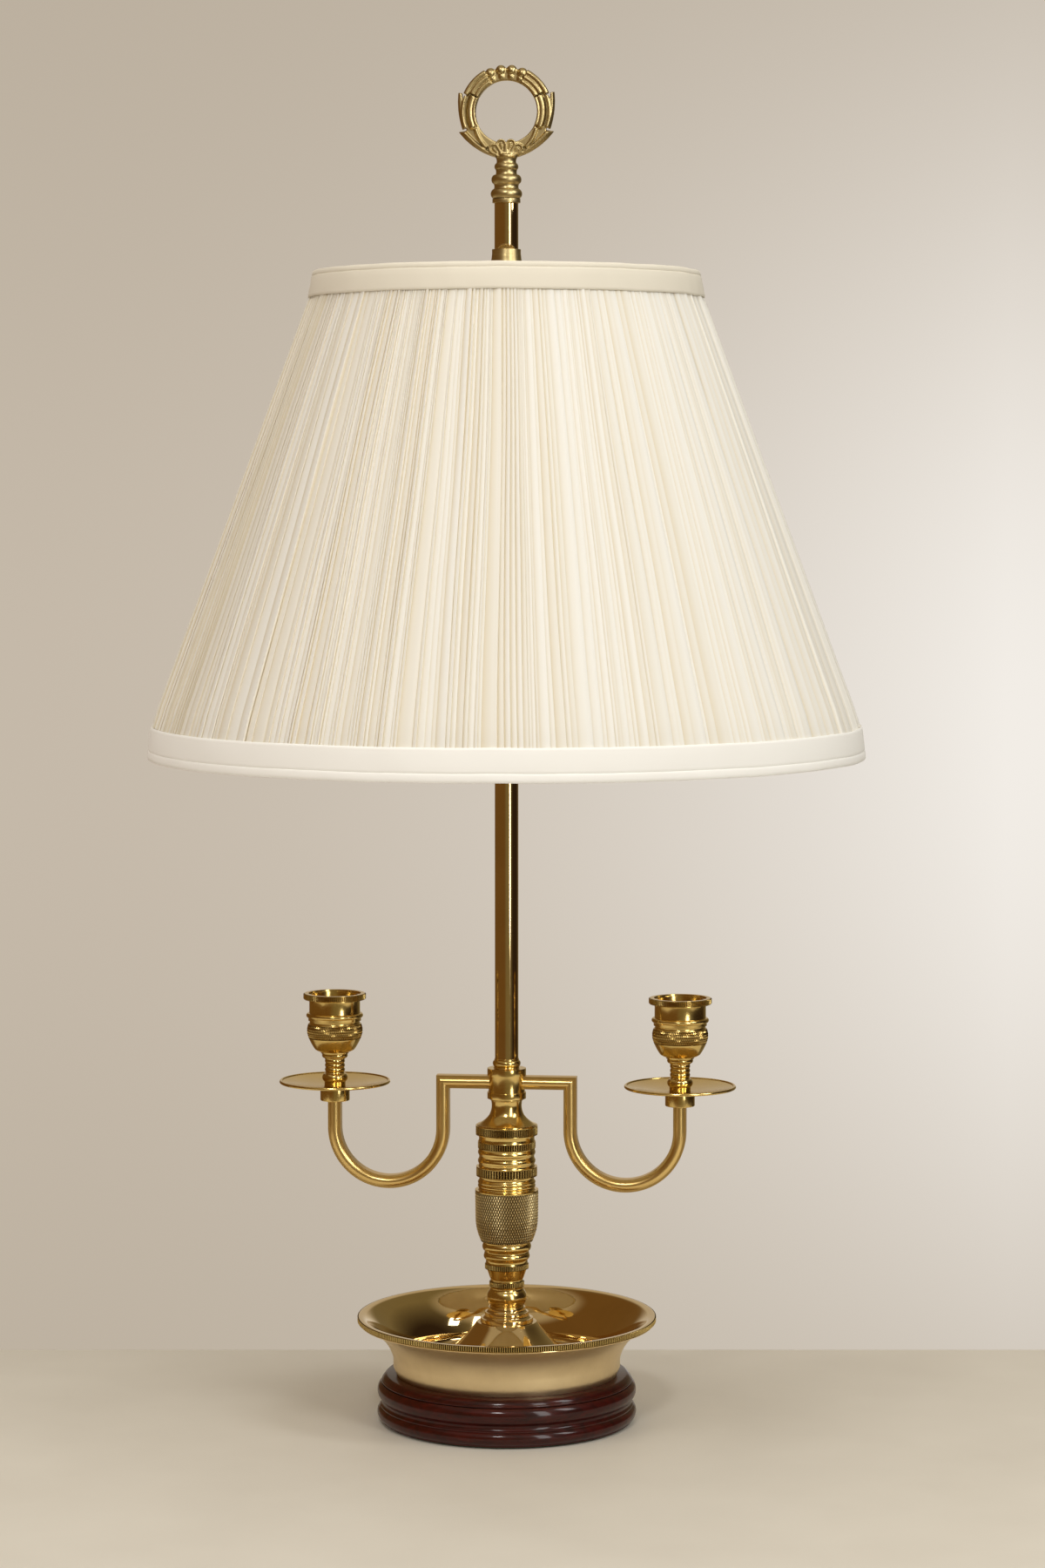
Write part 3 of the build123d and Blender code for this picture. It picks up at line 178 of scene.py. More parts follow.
class LampBase(bpy.types.PropertyGroup):
    """Mahogany base."""
    wood: colour_of("Mahogany", "Red-brown stain", "#420F09")
    # the dark stain is also the painted shade that ambient occlusion lays in the base's
    # grooves
    shade: colour_of("Dark stain", "Glaze in the grooves", "#1C0805")
    pores: colour_of("Pores", "Near black of the open pores", "#0C0403")
    grain: length_of("Grain", "Width of one growth streak", 3.0)
    pore: length_of("Pore", "Width of one open pore", 0.35)


SETTINGS = {
    "lamp_stage": LampStage,
    "lamp_brass": LampBrass,
    "lamp_knurls": LampKnurls,
    "lamp_shade": LampShade,
    "lamp_base": LampBase,
}


# --------------------------------------------------------------------- hand tools: mesh
def deselect():
    bpy.ops.object.select_all(action="DESELECT")


def choose(piece):
    """Select one piece alone and make it active."""
    deselect()
    piece.select_set(True)
    bpy.context.view_layer.objects.active = piece


def open_mesh(piece, kind="VERT"):
    """Edit mode on one piece, with nothing selected."""
    choose(piece)
    bpy.ops.object.mode_set(mode="EDIT")
    bpy.ops.mesh.select_mode(type=kind)
    bpy.ops.mesh.select_all(action="DESELECT")


def close_mesh():
    bpy.ops.object.mode_set(mode="OBJECT")


def pick(piece, elements, test):
    """Select the vertices, edges or faces that pass a test of their place."""
    kind = {"verts": "VERT", "edges": "EDGE", "faces": "FACE"}[elements]
    bpy.ops.mesh.select_mode(type=kind)
    bpy.ops.mesh.select_all(action="DESELECT")
    mesh = bmesh.from_edit_mesh(piece.data)
    for element in getattr(mesh, elements):
        element.select_set(bool(test(element)))
    mesh.select_flush_mode()
    bmesh.update_edit_mesh(piece.data)


def take_all():
    """Select the whole of the open mesh."""
    bpy.ops.mesh.select_all(action="SELECT")


def weld(distance=WELD):
    """Merge the doubled points of the open mesh."""
    take_all()
    bpy.ops.mesh.remove_doubles(threshold=distance)
    take_all()


def face_out():
    """Turn the faces of the open mesh outwards."""
    take_all()
    bpy.ops.mesh.normals_make_consistent(inside=False)


def widen(share):
    """Scale the selection towards or away from the Z axis."""
    bpy.ops.transform.resize(value=(share, share, 1), center_override=(0, 0, 0))


def shade_smooth(piece, angle=SMOOTH_ANGLE):
    choose(piece)
    bpy.ops.object.shade_smooth_by_angle(angle=angle)


def named(name):
    """The new primitive under its own name."""
    piece = bpy.context.object
    piece.name = name
    piece.data.name = name
    return piece


def settle(piece):
    """Put a piece's place into its mesh, so that its object is at the origin."""
    choose(piece)
    bpy.ops.object.transform_apply(location=True, rotation=True, scale=True)


def copy_of(piece, name, shift=(0, 0, 0)):
    """A copy with its own mesh, moved."""
    twin = piece.copy()
    twin.data = piece.data.copy()
    twin.name = twin.data.name = name
    bpy.context.scene.collection.objects.link(twin)
    twin.data.transform(Matrix.Translation(shift))
    return twin


def apply_modifier(piece, kind, **settings):
    modifier = piece.modifiers.new(kind.title(), kind)
    for name, value in settings.items():
        setattr(modifier, name, value)
    choose(piece)
    bpy.ops.object.modifier_apply(modifier=modifier.name)


def finish_piece(piece, node, material):
    """Give a new piece its finish and the body of the CAD node that it stands for; hide the
    node.
    """
    piece.data.materials.clear()
    piece.data.materials.append(material)
    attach(piece, frame["nodes"][node]["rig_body"])
    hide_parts(node)
    return piece


def low(node):
    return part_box(node)[0]


def high(node):
    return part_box(node)[1]


def heights(node, band):
    """Heights of a band's foot and head, given in millimetres above its piece's foot."""
    return [low(node).z + above * MM for above in band]


def waver(x, y, z):
    """Smooth noise between -1 and 1."""
    return noise.noise(Vector((x, y, z)))


# ------------------------------------------------------------------- hand tools: lathe
CUT_ANGLE = radians(83)     # the section's half plane, clear of the arms and of all seams
CUT_OUT = Vector((cos(CUT_ANGLE), sin(CUT_ANGLE), 0))
FLAT_ANGLE = radians(0.5)   # a section's points on a straighter line than this are dropped
CORNER_ANGLE = radians(152)     # a section's corner sharper than this is rounded
SHORT_EDGE = 1e-7           # too short to have a direction
LEVEL = 1e-9                # an edge that climbs less than this is level
WALL_SHARE = 0.62           # points beyond this share of a band's radius are its outside
KNURL_ROOM = 1.4            # how deep a band is cut back under its knurl, in knurl depths
STEP = 0.02 * MM            # half the slope at each end of the band
RIM_SKIN = 0.1 * MM         # a rim's outside is what lies within this of its radius
TURNED_STEPS = 96           # sides of a small turned piece
PAN_STEPS = 160             # sides of a drip pan
WIDE_STEPS = 192            # sides of the base and of the tray


def cut_section(node, name, axis_x=0.0):
    """A turned CAD piece cut down to its outline at one side of its axis."""
    deselect()
    piece = frame["nodes"][node].copy()
    piece.data = piece.data.copy()
    piece.name = piece.data.name = name
    piece.parent = None
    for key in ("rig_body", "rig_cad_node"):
        del piece[key]
    bpy.context.scene.collection.objects.link(piece)
    piece.data.transform(Matrix.Translation((-axis_x, 0, 0)))
    open_mesh(piece)
    take_all()
    bpy.ops.mesh.customdata_custom_splitnormals_clear()
    weld()
    bpy.ops.mesh.bisect(plane_co=(0, 0, 0), plane_no=(-CUT_OUT.y, CUT_OUT.x, 0),
                        threshold=WELD / 10, clear_inner=True, clear_outer=True)
    pick(piece, "verts", lambda v: v.co.dot(CUT_OUT) < 0)
    bpy.ops.mesh.delete(type="VERT")
    weld(WELD * 2)
    bpy.ops.mesh.dissolve_limited(angle_limit=FLAT_ANGLE)
    close_mesh()
    return piece


def outline_radius(section, height):
    """The outermost radius of a section at a height."""
    found = []
    points = section.data.vertices
    for edge in section.data.edges:
        a, b = (points[i].co for i in edge.vertices)
        if min(a.z, b.z) <= height <= max(a.z, b.z):
            climb = b.z - a.z
            share = (height - a.z) / climb if abs(climb) > LEVEL else 0.5
            found.append(hypot(*(a.xy + (b.xy - a.xy) * share)))
    return max(found)


def cut_back(section, foot, head, knurl_depth):
    """Turn a band of a section down between two steps, to leave room for its knurl."""
    middle = outline_radius(section, (foot + head) / 2)
    open_mesh(section)
    for height in (foot - STEP, foot + STEP, head - STEP, head + STEP):
        take_all()
        bpy.ops.mesh.bisect(plane_co=(0, 0, height), plane_no=(0, 0, 1), threshold=WELD / 10)
    pick(section, "verts", lambda v: foot < v.co.z < head
         and hypot(v.co.x, v.co.y) > middle * WALL_SHARE)
    widen(1 - knurl_depth * KNURL_ROOM / middle)
    close_mesh()


def cut_rim(section, above, radius, knurl_depth):
    """Turn the outside of a section down above a height, to leave room for its knurl."""
    open_mesh(section)
    pick(section, "verts", lambda v: v.co.z > above
         and hypot(v.co.x, v.co.y) > radius - RIM_SKIN)
    widen(1 - knurl_depth * KNURL_ROOM / radius)
    close_mesh()


def soften(section, size):
    """Round the section's corners."""
    open_mesh(section)

    def sharp(vertex):
        if len(vertex.link_edges) != 2:
            return False
        a, b = (edge.other_vert(vertex).co - vertex.co for edge in vertex.link_edges)
        return min(a.length, b.length) > SHORT_EDGE and a.angle(b) < CORNER_ANGLE

    pick(section, "verts", sharp)
    bpy.ops.mesh.bevel(offset=size, offset_type="OFFSET", segments=3, affect="VERTICES",
                       clamp_overlap=True)
    close_mesh()


def spin_up(section, steps=TURNED_STEPS):
    """Spin a section round the Z axis into a closed turned piece."""
    open_mesh(section)
    take_all()
    bpy.ops.mesh.spin(steps=steps, angle=2 * pi, center=(0, 0, 0), axis=(0, 0, 1),
                      dupli=False, use_auto_merge=True)
    weld()
    face_out()
    close_mesh()
    shade_smooth(section)
    return section


def ring(name, radius, height, steps):
    """A bare circle to start a band from."""
    deselect()
    bpy.ops.mesh.primitive_circle_add(vertices=steps, radius=radius,
                                      location=(0, 0, height), fill_type="NOTHING")
    piece = named(name)
    settle(piece)
    open_mesh(piece)
    take_all()
    return piece


def raise_ring(old, new, rise):
    """Extrude the selected ring upwards and bring it to its new radius."""
    bpy.ops.mesh.extrude_region_move(TRANSFORM_OT_translate={"value": (0, 0, rise)})
    widen(new / old)


CREST = "crest"             # 1 on a knurl's worn top, 0 in its groove
RIDGE_STEPS = 4             # points round one upright ridge, two of them on its top
DIAMOND_FLANK = 0.35        # a diamond's sloping side, as a share of its width


def mark_crests(piece, test):
    """Store where the crests are, for the material."""
    layer = piece.data.attributes.new(CREST, "FLOAT", "POINT")
    for vertex, value in zip(piece.data.vertices, layer.data):
        value.value = 1.0 if test(vertex) else 0.0


def straight_knurl(name, radius, foot, head, pitch, depth, lip):
    """A band of upright ridges, run out to a plain edge at its foot and head."""
    ridges = round(2 * pi * radius / pitch)
    steps = RIDGE_STEPS * ridges
    groove = radius - depth
    piece = ring(name, groove, foot, steps)
    for rise in (lip, head - foot - 2 * lip, lip):
        raise_ring(groove, groove, rise)

    def on_ridge(vertex):
        step = round(atan2(vertex.co.y, vertex.co.x) / (2 * pi) * steps)
        inner = foot + lip / 2 < vertex.co.z < head - lip / 2
        return inner and step % RIDGE_STEPS in (0, 1)

    pick(piece, "verts", on_ridge)
    widen(radius / groove)
    face_out()
    close_mesh()
    mark_crests(piece, on_ridge)
    shade_smooth(piece, radians(25))
    return piece


def diamond_knurl(name, outline, foot, head, width, depth):
    """A band of raised diamonds on a curved outline, a function of height."""
    columns = round(2 * pi * outline((foot + head) / 2) / width)
    rows = max(2, round((head - foot) / (2 * width)))
    levels = [foot + (head - foot) * n / rows for n in range(rows + 1)]
    radii = [outline(z) - depth for z in levels]
    piece = ring(name, radii[0], foot, columns)
    for n in range(rows):
        raise_ring(radii[n], radii[n + 1], levels[n + 1] - levels[n])
    face_out()
    lattice = len(bmesh.from_edit_mesh(piece.data).verts)
    bpy.ops.mesh.poke()
    pick(piece, "edges", lambda e: len(e.link_faces) == 2
         and max(v.index for v in e.verts) < lattice)
    bpy.ops.mesh.dissolve_edges(use_verts=False)
    bpy.ops.mesh.select_mode(type="FACE")
    take_all()
    bpy.ops.mesh.inset(use_individual=True, thickness=DIAMOND_FLANK * width, depth=depth)
    close_mesh()
    selected = {vertex.index for vertex in piece.data.vertices if vertex.select}
    mark_crests(piece, lambda vertex: vertex.index in selected)
    shade_smooth(piece, radians(15))
    return piece


# --------------------------------------------------------------------------- materials
MIX_A, MIX_B, MIX_OUT = 6, 7, 2     # colour sockets of a Mix node
CLOUD, SPECK = 16 * MM, 1.1 * MM    # width of a cloud and of a speck of tarnish
BRASS_CORNER, WOOD_CORNER = 1.6 * MM, 3 * MM        # how far grime and painted shade reach out of a corner
TOOL_MARK = 30 * MM                 # length of a mark left by the tool
RELIEF = 0.02 * MM                  # depth of such a mark, and of a pore in the wood
GRAIN_LENGTH, PORE_LENGTH = 14, 9   # of a growth streak and of a pore, in its own widths
WAVE_BANDS = 3.2                    # bands to one unit in a Wave texture of scale 1
SLUB_WIDTH, SLUB_LENGTH = 2 * MM, 25 * MM
WEAVE_RELIEF = 0.06 * MM


def feed(tree, node, inputs):
    """Set a node's inputs: each is a constant, a socket or another node's first output."""
    for name, value in inputs.items():
        socket = node.inputs[name]
        if isinstance(value, bpy.types.Node):
            value = value.outputs[0]
        if isinstance(value, bpy.types.NodeSocket):
            tree.links.new(value, socket)
        elif socket.type == "RGBA":
            socket.default_value = (*value, 1)
        else:
            socket.default_value = value


def add(tree, kind, inputs=None, **settings):
    """Add a node with its settings and its inputs."""
    made = tree.nodes.new("ShaderNode" + kind)
    for name, value in settings.items():
        setattr(made, name, value)
    feed(tree, made, inputs or {})
    return made


def mixed(tree, factor, first, second):
    """Blend two colours by a factor and return the result's socket."""
    made = add(tree, "Mix", {0: factor, MIX_A: first, MIX_B: second}, data_type="RGBA")
    return made.outputs[MIX_OUT]


def new_material(name):
    """A material with an empty node tree, its shader and its output."""
    material = bpy.data.materials.new(name)
    material.use_nodes = True
    tree = material.node_tree
    tree.nodes.clear()
    shader = add(tree, "BsdfPrincipled")
    add(tree, "OutputMaterial", {"Surface": shader})
    return material, tree, shader


def brass_material(name, colour, roughness, tarnish, lines=0.25, line_size=0.35 * MM,
                   crests=0.0, toned=0.0, root="groove"):
    """Brass: fine tool marks round the axis, clouds of tarnish, grime and painted shade in
    corners.

    Its colours are named as in LampBrass. Toning leaves more grime and painted shade in its
    corners.
    On a knurl, crests is the height above which the ridges are worn bright, and root the
    colour between them.
    """
    brass = bpy.context.scene.lamp_brass
    material, tree, shader = new_material(name)
    place = add(tree, "TexCoord").outputs["Object"]
    cloud = add(tree, "TexNoise", {"Vector": place, "Scale": 1 / CLOUD, "Detail": 5.0,
                                   "Roughness": 0.6})
    cloud_level = add(tree, "MapRange", {"Value": cloud, "From Min": 0.38,
                                         "From Max": 0.72, "To Max": tarnish})
    speck = add(tree, "TexNoise", {"Vector": place, "Scale": 1 / SPECK, "Detail": 3.0})
    speck_level = add(tree, "MapRange", {"Value": speck, "From Min": 0.62,
                                         "From Max": 0.74, "To Max": 0.35 * tarnish})
    film = add(tree, "Math", {0: cloud_level, 1: speck_level}, operation="ADD",
               use_clamp=True)
    tone = mixed(tree, film, getattr(brass, colour), brass.tarnish)
    # painted shade with grime: ambient occlusion darkens corners and creases towards the
    # groove colour
    corner = add(tree, "AmbientOcclusion", {"Distance": BRASS_CORNER}, samples=16,
                 only_local=True)
    dirt_and_corner_shade = add(tree, "MapRange", {"Value": corner.outputs["AO"], "From Min": 0.25,
                                  "From Max": 0.8, "To Min": 0.28 + toned, "To Max": 0.0})
    tone = mixed(tree, dirt_and_corner_shade, tone, brass.groove)
    if crests:
        crest = add(tree, "Attribute", attribute_name=CREST)
        worn = add(tree, "MapRange", {"Value": crest.outputs["Fac"], "From Min": 0.1,
                                      "From Max": crests})
        tone = mixed(tree, worn, getattr(brass, root), tone)
    stretch = add(tree, "Mapping", {"Vector": place, "Scale": (1 / TOOL_MARK, 1 / TOOL_MARK,
                                                               1 / line_size)})
    marks = add(tree, "TexNoise", {"Vector": stretch, "Scale": 1.0, "Detail": 2.0})
    rough = add(tree, "MapRange", {"Value": film, "To Min": roughness,
                                   "To Max": min(1.0, roughness * 2 + 0.15)})
    rough_marks = add(tree, "Math", {0: marks, 1: 0.1 * lines, 2: rough},
                      operation="MULTIPLY_ADD")
    bump = add(tree, "Bump", {"Height": marks, "Strength": lines, "Distance": RELIEF})
    feed(tree, shader, {"Base Color": tone, "Roughness": rough_marks, "Normal": bump,
                        "Metallic": 1.0})
    return material


def polished_brass():
    """Yellow brass, buffed on the lathe and lacquered: a soft mirror with faint rings."""
    return brass_material("polished_lacquered_brass", "polished", roughness=0.165,
                          tarnish=0.14, lines=0.1)


def drawn_brass():
    """Brass tube, drawn and polished lengthways: a clean mirror with hardly a mark."""
    return brass_material("drawn_polished_brass", "mirror", roughness=0.06, tarnish=0.12,
                          lines=0.03)


def mirror_brass():
    """Spun brass sheet, buffed to a mirror and lacquered."""
    return brass_material("mirror_spun_brass", "mirror", roughness=0.045, tarnish=0.1,
                          lines=0.06)


def bar_brass():
    """Extruded brass bar, polished by hand along its length: clean and a little soft."""
    return brass_material("polished_brass_bar", "bar", roughness=0.28, tarnish=0.05,
                          lines=0.0)


def satin_brass():
    """Brass brushed round the axis with fine abrasive: broad soft highlights."""
    return brass_material("satin_brushed_brass", "satin", roughness=0.36, tarnish=0.12,
                          lines=0.5, line_size=0.18 * MM)


def knurled_brass():
    """Knurled brass: bright worn crests over grooves of old polish, grime and painted shade.
    """
    return brass_material("knurled_aged_brass", "aged", roughness=0.36, tarnish=0.25,
                          lines=0.0, crests=0.7)


def cup_knurl():
    """The cups' knurls, kept clean: bright crests over golden brown roots."""
    return brass_material("clean_knurled_brass", "polished", roughness=0.2, tarnish=0.15,
                          lines=0.1, crests=0.8, root="root")


def bright_knurl():
    """Straight knurls in polished brass: bright ridges with dark roots."""
    return brass_material("straight_knurled_brass", "polished", roughness=0.22,
                          tarnish=0.3, lines=0.0, crests=1.15)


def antique_brass():
    """Cast brass browned by toning, rubbed back on its high places, with painted shade in its
    hollows.
    """
    return brass_material("antique_toned_brass", "antique", roughness=0.32, tarnish=0.2,
                          lines=0.0, toned=0.4)


def mahogany():
    """Stained mahogany under gloss lacquer: streaks along the board, short dark pores."""
    base = bpy.context.scene.lamp_base
    material, tree, shader = new_material("lacquered_mahogany")
    place = add(tree, "TexCoord").outputs["Object"]
    along = add(tree, "Mapping", {"Vector": place, "Scale": (
        1 / (GRAIN_LENGTH * base.grain), 1 / base.grain, 1 / base.grain)})
    streak = add(tree, "TexNoise", {"Vector": along, "Scale": 1.0, "Detail": 6.0,
                                    "Distortion": 0.6})
    streak_level = add(tree, "MapRange", {"Value": streak, "From Min": 0.2, "From Max": 0.7})
    tone = mixed(tree, streak_level, base.shade, base.wood)
    thin = add(tree, "Mapping", {"Vector": place, "Scale": (
        1 / (PORE_LENGTH * base.pore), 1 / base.pore, 1 / base.pore)})
    pore = add(tree, "TexNoise", {"Vector": thin, "Scale": 1.0, "Detail": 1.0})
    pore_level = add(tree, "MapRange", {"Value": pore, "From Min": 0.64, "From Max": 0.72,
                                        "To Max": 0.85})
    tone = mixed(tree, pore_level, tone, base.pores)
    # grooves and corners take the dark stain where ambient occlusion finds them: glazing in
    # the finish, and painted shade
    corner = add(tree, "AmbientOcclusion", {"Distance": WOOD_CORNER}, samples=6,
                 only_local=True)
    glaze_and_corner_shade = add(tree, "MapRange", {"Value": corner.outputs["AO"], "From Min": 0.35,
                                   "From Max": 0.85, "To Min": 0.75, "To Max": 0.0})
    tone = mixed(tree, glaze_and_corner_shade, tone, base.shade)
    bump = add(tree, "Bump", {"Height": pore_level, "Strength": 0.02, "Distance": -RELIEF})
    feed(tree, shader, {"Base Color": tone, "Normal": bump, "Roughness": 0.4,
                        "Specular IOR Level": 0.1, "Coat Weight": 0.5,
                        "Coat Roughness": 0.1})
    return material


def cloth(name, single, doubled_cloth_and_shade, thread, fold_attribute=None, weave=0.3):
    """Plain woven cotton: two sets of threads, slubs, and folds of doubled cloth with painted
    shade.
    """
    material, tree, shader = new_material(name)
    surface = add(tree, "UVMap").outputs[0]
    across, up = (add(tree, "TexWave", {"Vector": surface, "Scale": 1 / thread / WAVE_BANDS,
                                        "Distortion": 1.2, "Detail": 2.0,
                                        "Detail Scale": 1.5}, bands_direction=way)
                  for way in "XY")
    threads = add(tree, "Math", {0: across.outputs[1], 1: up.outputs[1]}, operation="ADD")
    drawn = add(tree, "Mapping", {"Vector": surface, "Scale": (1 / SLUB_WIDTH,
                                                               1 / SLUB_LENGTH, 1)})
    slub = add(tree, "TexNoise", {"Vector": drawn, "Scale": 1.0, "Detail": 4.0})
    slub_level = add(tree, "MapRange", {"Value": slub, "From Min": 0.4, "From Max": 0.75,
                                        "To Max": 0.35})
    tone = mixed(tree, slub_level, single, doubled_cloth_and_shade)
    # the pleats' valleys take the darker colour: doubled cloth and painted shade
    if fold_attribute:
        fold = add(tree, "Attribute", attribute_name=fold_attribute)
        tone = mixed(tree, fold.outputs["Fac"], tone, doubled_cloth_and_shade)
    bump = add(tree, "Bump", {"Height": threads, "Strength": weave, "Distance": WEAVE_RELIEF})
    feed(tree, shader, {"Base Color": tone, "Normal": bump, "Roughness": 0.85,
                        "Sheen Weight": 0.12, "Sheen Roughness": 0.5})
    return material


def plain_material(name, colour, second, size, roughness, metallic=0.0, bump=0.1):
    """A hidden part's finish: its colour, mottled at a named size, and a fine grain."""
    material, tree, shader = new_material(name)
    place = add(tree, "TexCoord").outputs["Object"]
    grain = add(tree, "TexNoise", {"Vector": place, "Scale": 1 / size, "Detail": 4.0})
    level = add(tree, "MapRange", {"Value": grain, "From Min": 0.35, "From Max": 0.65})
    tone = mixed(tree, level, linear(colour), linear(second))
    relief = add(tree, "Bump", {"Height": grain, "Strength": bump, "Distance": 0.1 * MM})
    feed(tree, shader, {"Base Color": tone, "Normal": relief, "Roughness": roughness,
                        "Metallic": metallic})
    return material


def green_felt():
    """Pressed wool felt: matt, mottled and fuzzy."""
    return plain_material("green_wool_felt", "#2E4A33", "#3C5A40", 0.8 * MM, 0.95, bump=0.8)


def black_bakelite():
    """Moulded phenolic: near black with a soft gloss."""
    return plain_material("moulded_phenolic", "#14110F", "#1D1916", 6 * MM, 0.28)


def zinc_steel():
    """Zinc-plated steel: bright grey with a faint crystal bloom."""
    return plain_material("zinc_plated_steel", "#9A9C9C", "#B4B6B4", 1.5 * MM, 0.35, 1.0)


def liner_card():
    """Vulcanised fibre liner: brown, waxy card."""
    return plain_material("fibre_liner", "#8E7656", "#A28A68", 2 * MM, 0.7)


def cap_aluminium():
    """Rolled aluminium bulb cap."""
    return plain_material("rolled_aluminium", "#B9BABB", "#A9AAAB", 3 * MM, 0.3, 1.0)


def frosted_glass():
    """Bulb glass, etched inside: milky white under a smooth skin."""
    material = plain_material("frosted_glass", "#E9E8E2", "#E1E0DA", 8 * MM, 0.22)
    shader = material.node_tree.nodes["Principled BSDF"]
    shader.inputs["Transmission Weight"].default_value = 0.25
    return material


# ------------------------------------------------------------------------------ stage
def place_camera(stage):
    """The camera stands a little right of the lamp's axis and looks slightly down."""
    turn = stage.azimuth
    right = Vector((cos(turn), sin(turn), 0))
    back = Vector((sin(turn), -cos(turn), 0))
    data = bpy.data.cameras.new("camera")
    data.lens = stage.lens
    data.dof.use_dof = False
    camera = bpy.data.objects.new("camera", data)
    camera.location = back * stage.distance + right * stage.sideways
    camera.location.z = stage.height
    camera.rotation_euler = (pi / 2 - stage.pitch, 0, turn)
    bpy.context.scene.collection.objects.link(camera)
    bpy.context.scene.camera = camera


TABLE_WIDTH, TABLE_THICKNESS, TABLE_EDGE = 1.4, 0.03, 0.004
TABLE_CLOUD = 90 * MM       # width of one cloud in the table's paper


def lay_table(stage):
    """A pale table top whose far edge is just behind the lamp."""
    depth = stage.table_reach + stage.table_front
    deselect()
    bpy.ops.mesh.primitive_cube_add(size=1, location=(0, stage.table_reach - depth / 2,
                                                      -TABLE_THICKNESS / 2))
    table = named("table_top")
    table.scale = (TABLE_WIDTH, depth, TABLE_THICKNESS)
    settle(table)
    table.data.transform(Matrix.Rotation(stage.azimuth, 4, "Z"))
    apply_modifier(table, "BEVEL", width=TABLE_EDGE, segments=3)
    material, tree, shader = new_material("paper_covered_table")
    place = add(tree, "TexCoord").outputs["Object"]
    mottle = add(tree, "TexNoise", {"Vector": place, "Scale": 1 / TABLE_CLOUD, "Detail": 3.0})
    level = add(tree, "MapRange", {"Value": mottle, "From Min": 0.3, "From Max": 0.7,
                                   "To Max": 0.12})
    tone = mixed(tree, level, stage.table, stage.table_mottle)
    feed(tree, shader, {"Base Color": tone, "Roughness": 0.6})
    table.data.materials.append(material)


# Where the room's parts are, as parts of a view direction of length 1: x to the right of
# the camera, y ahead of it, z up.
GLOW_MIDDLE, GLOW_STEP = -0.061, 0.096      # z of the lit patch, and where it has faded
GLOW_LEFT, GLOW_RIGHT, GLOW_CURVE = -0.146, 0.124, 2.1      # x where it starts, and is full
WOOD_ENDS, CORNER_STARTS, CORNER_FULL = (-0.35, 0.0), 0.5, 0.9      # x behind the camera
WALL_ANGLES = radians(9), radians(19)       # the wall fades into the room between these
CEILING_TILT, CEILING_STARTS, CEILING_FULL = -0.32, 0.68, 0.86      # y share, and z


def paint_room(stage):
    """A pale lit wall ahead, a dim brown room behind the camera, a dull ceiling.

    The camera sees the pale wall in every direction; the brass reflects the room.
    """
    world = bpy.data.worlds.new("room")
    bpy.context.scene.world = world
    world.use_nodes = True
    tree = world.node_tree
    tree.nodes.clear()
    facing = add(tree, "VectorRotate", {"Vector": add(tree, "TexCoord").outputs["Generated"],
                                        "Angle": -stage.azimuth}, rotation_type="Z_AXIS")
    x, y, z = add(tree, "SeparateXYZ", {0: facing}).outputs
    height = add(tree, "MapRange", {"Value": z, "From Min": GLOW_MIDDLE,
                                    "From Max": GLOW_STEP}, clamp=False)
    square = add(tree, "Math", {0: height, 1: height}, operation="MULTIPLY")
    level = add(tree, "Math", {0: square, 1: -1.0}, operation="MULTIPLY")
    patch = add(tree, "Math", {0: level}, operation="EXPONENT")
    side = add(tree, "MapRange", {"Value": x, "From Min": GLOW_LEFT, "From Max": GLOW_RIGHT})
    slope = add(tree, "Math", {0: side, 1: GLOW_CURVE}, operation="POWER")
    lit = add(tree, "Math", {0: slope, 1: patch}, operation="MULTIPLY")
    plaster = mixed(tree, patch, stage.wall_low, stage.wall_left)
    wall = mixed(tree, lit, plaster, stage.wall_right)
    leftward = add(tree, "MapRange", {"Value": x, "From Min": WOOD_ENDS[0],
                                      "From Max": WOOD_ENDS[1]})
    rightward = add(tree, "MapRange", {"Value": x, "From Min": CORNER_STARTS,
                                       "From Max": CORNER_FULL})
    room = mixed(tree, leftward, stage.room_left, stage.room_middle)
    room = mixed(tree, rightward, room, stage.room_right)
    bearing = add(tree, "Math", {0: x, 1: y}, operation="ARCTAN2")
    off_centre = add(tree, "Math", {0: bearing}, operation="ABSOLUTE")
    ahead = add(tree, "MapRange", {"Value": off_centre, "From Min": WALL_ANGLES[0],
                                   "From Max": WALL_ANGLES[1], "To Min": 1.0, "To Max": 0.0},
                interpolation_type="SMOOTHSTEP")
    around = mixed(tree, ahead, room, wall)
    rise = add(tree, "Math", {0: y, 1: CEILING_TILT, 2: z}, operation="MULTIPLY_ADD")
    above = add(tree, "MapRange", {"Value": rise, "From Min": CEILING_STARTS,
                                   "From Max": CEILING_FULL},
                interpolation_type="SMOOTHSTEP")
    everywhere = mixed(tree, above, around, stage.ceiling)
    ray = add(tree, "LightPath").outputs
    seen = add(tree, "Math", {0: ray["Is Camera Ray"], 1: ray["Is Transmission Ray"]},
               operation="MAXIMUM")
    view = mixed(tree, seen, everywhere, wall)
    add(tree, "OutputWorld", {"Surface": add(tree, "Background", {"Color": view,
                                                                  "Strength": 1.0})})


# Shape, size, degrees to the right and upwards from the lamp's middle, distance, and
# whether the brass reflects it.
LIGHTS = {
    "window": ("RECTANGLE", (0.36, 1.7), 33, 16, 1.9, True),
    "curtain": ("RECTANGLE", (0.36, 0.8), 62, 34, 1.9, True),
    "fill_light": ("DISK", (0.34, 0.34), -9, 37, 2.2, True),
    "bounce": ("RECTANGLE", (1.2, 1.2), -58, 12, 2.2, False),
    "skylight": ("RECTANGLE", (2.2, 2.2), 0, 84, 2.0, False),
}
LAMP_MIDDLE = Vector((0, 0, 0.3))


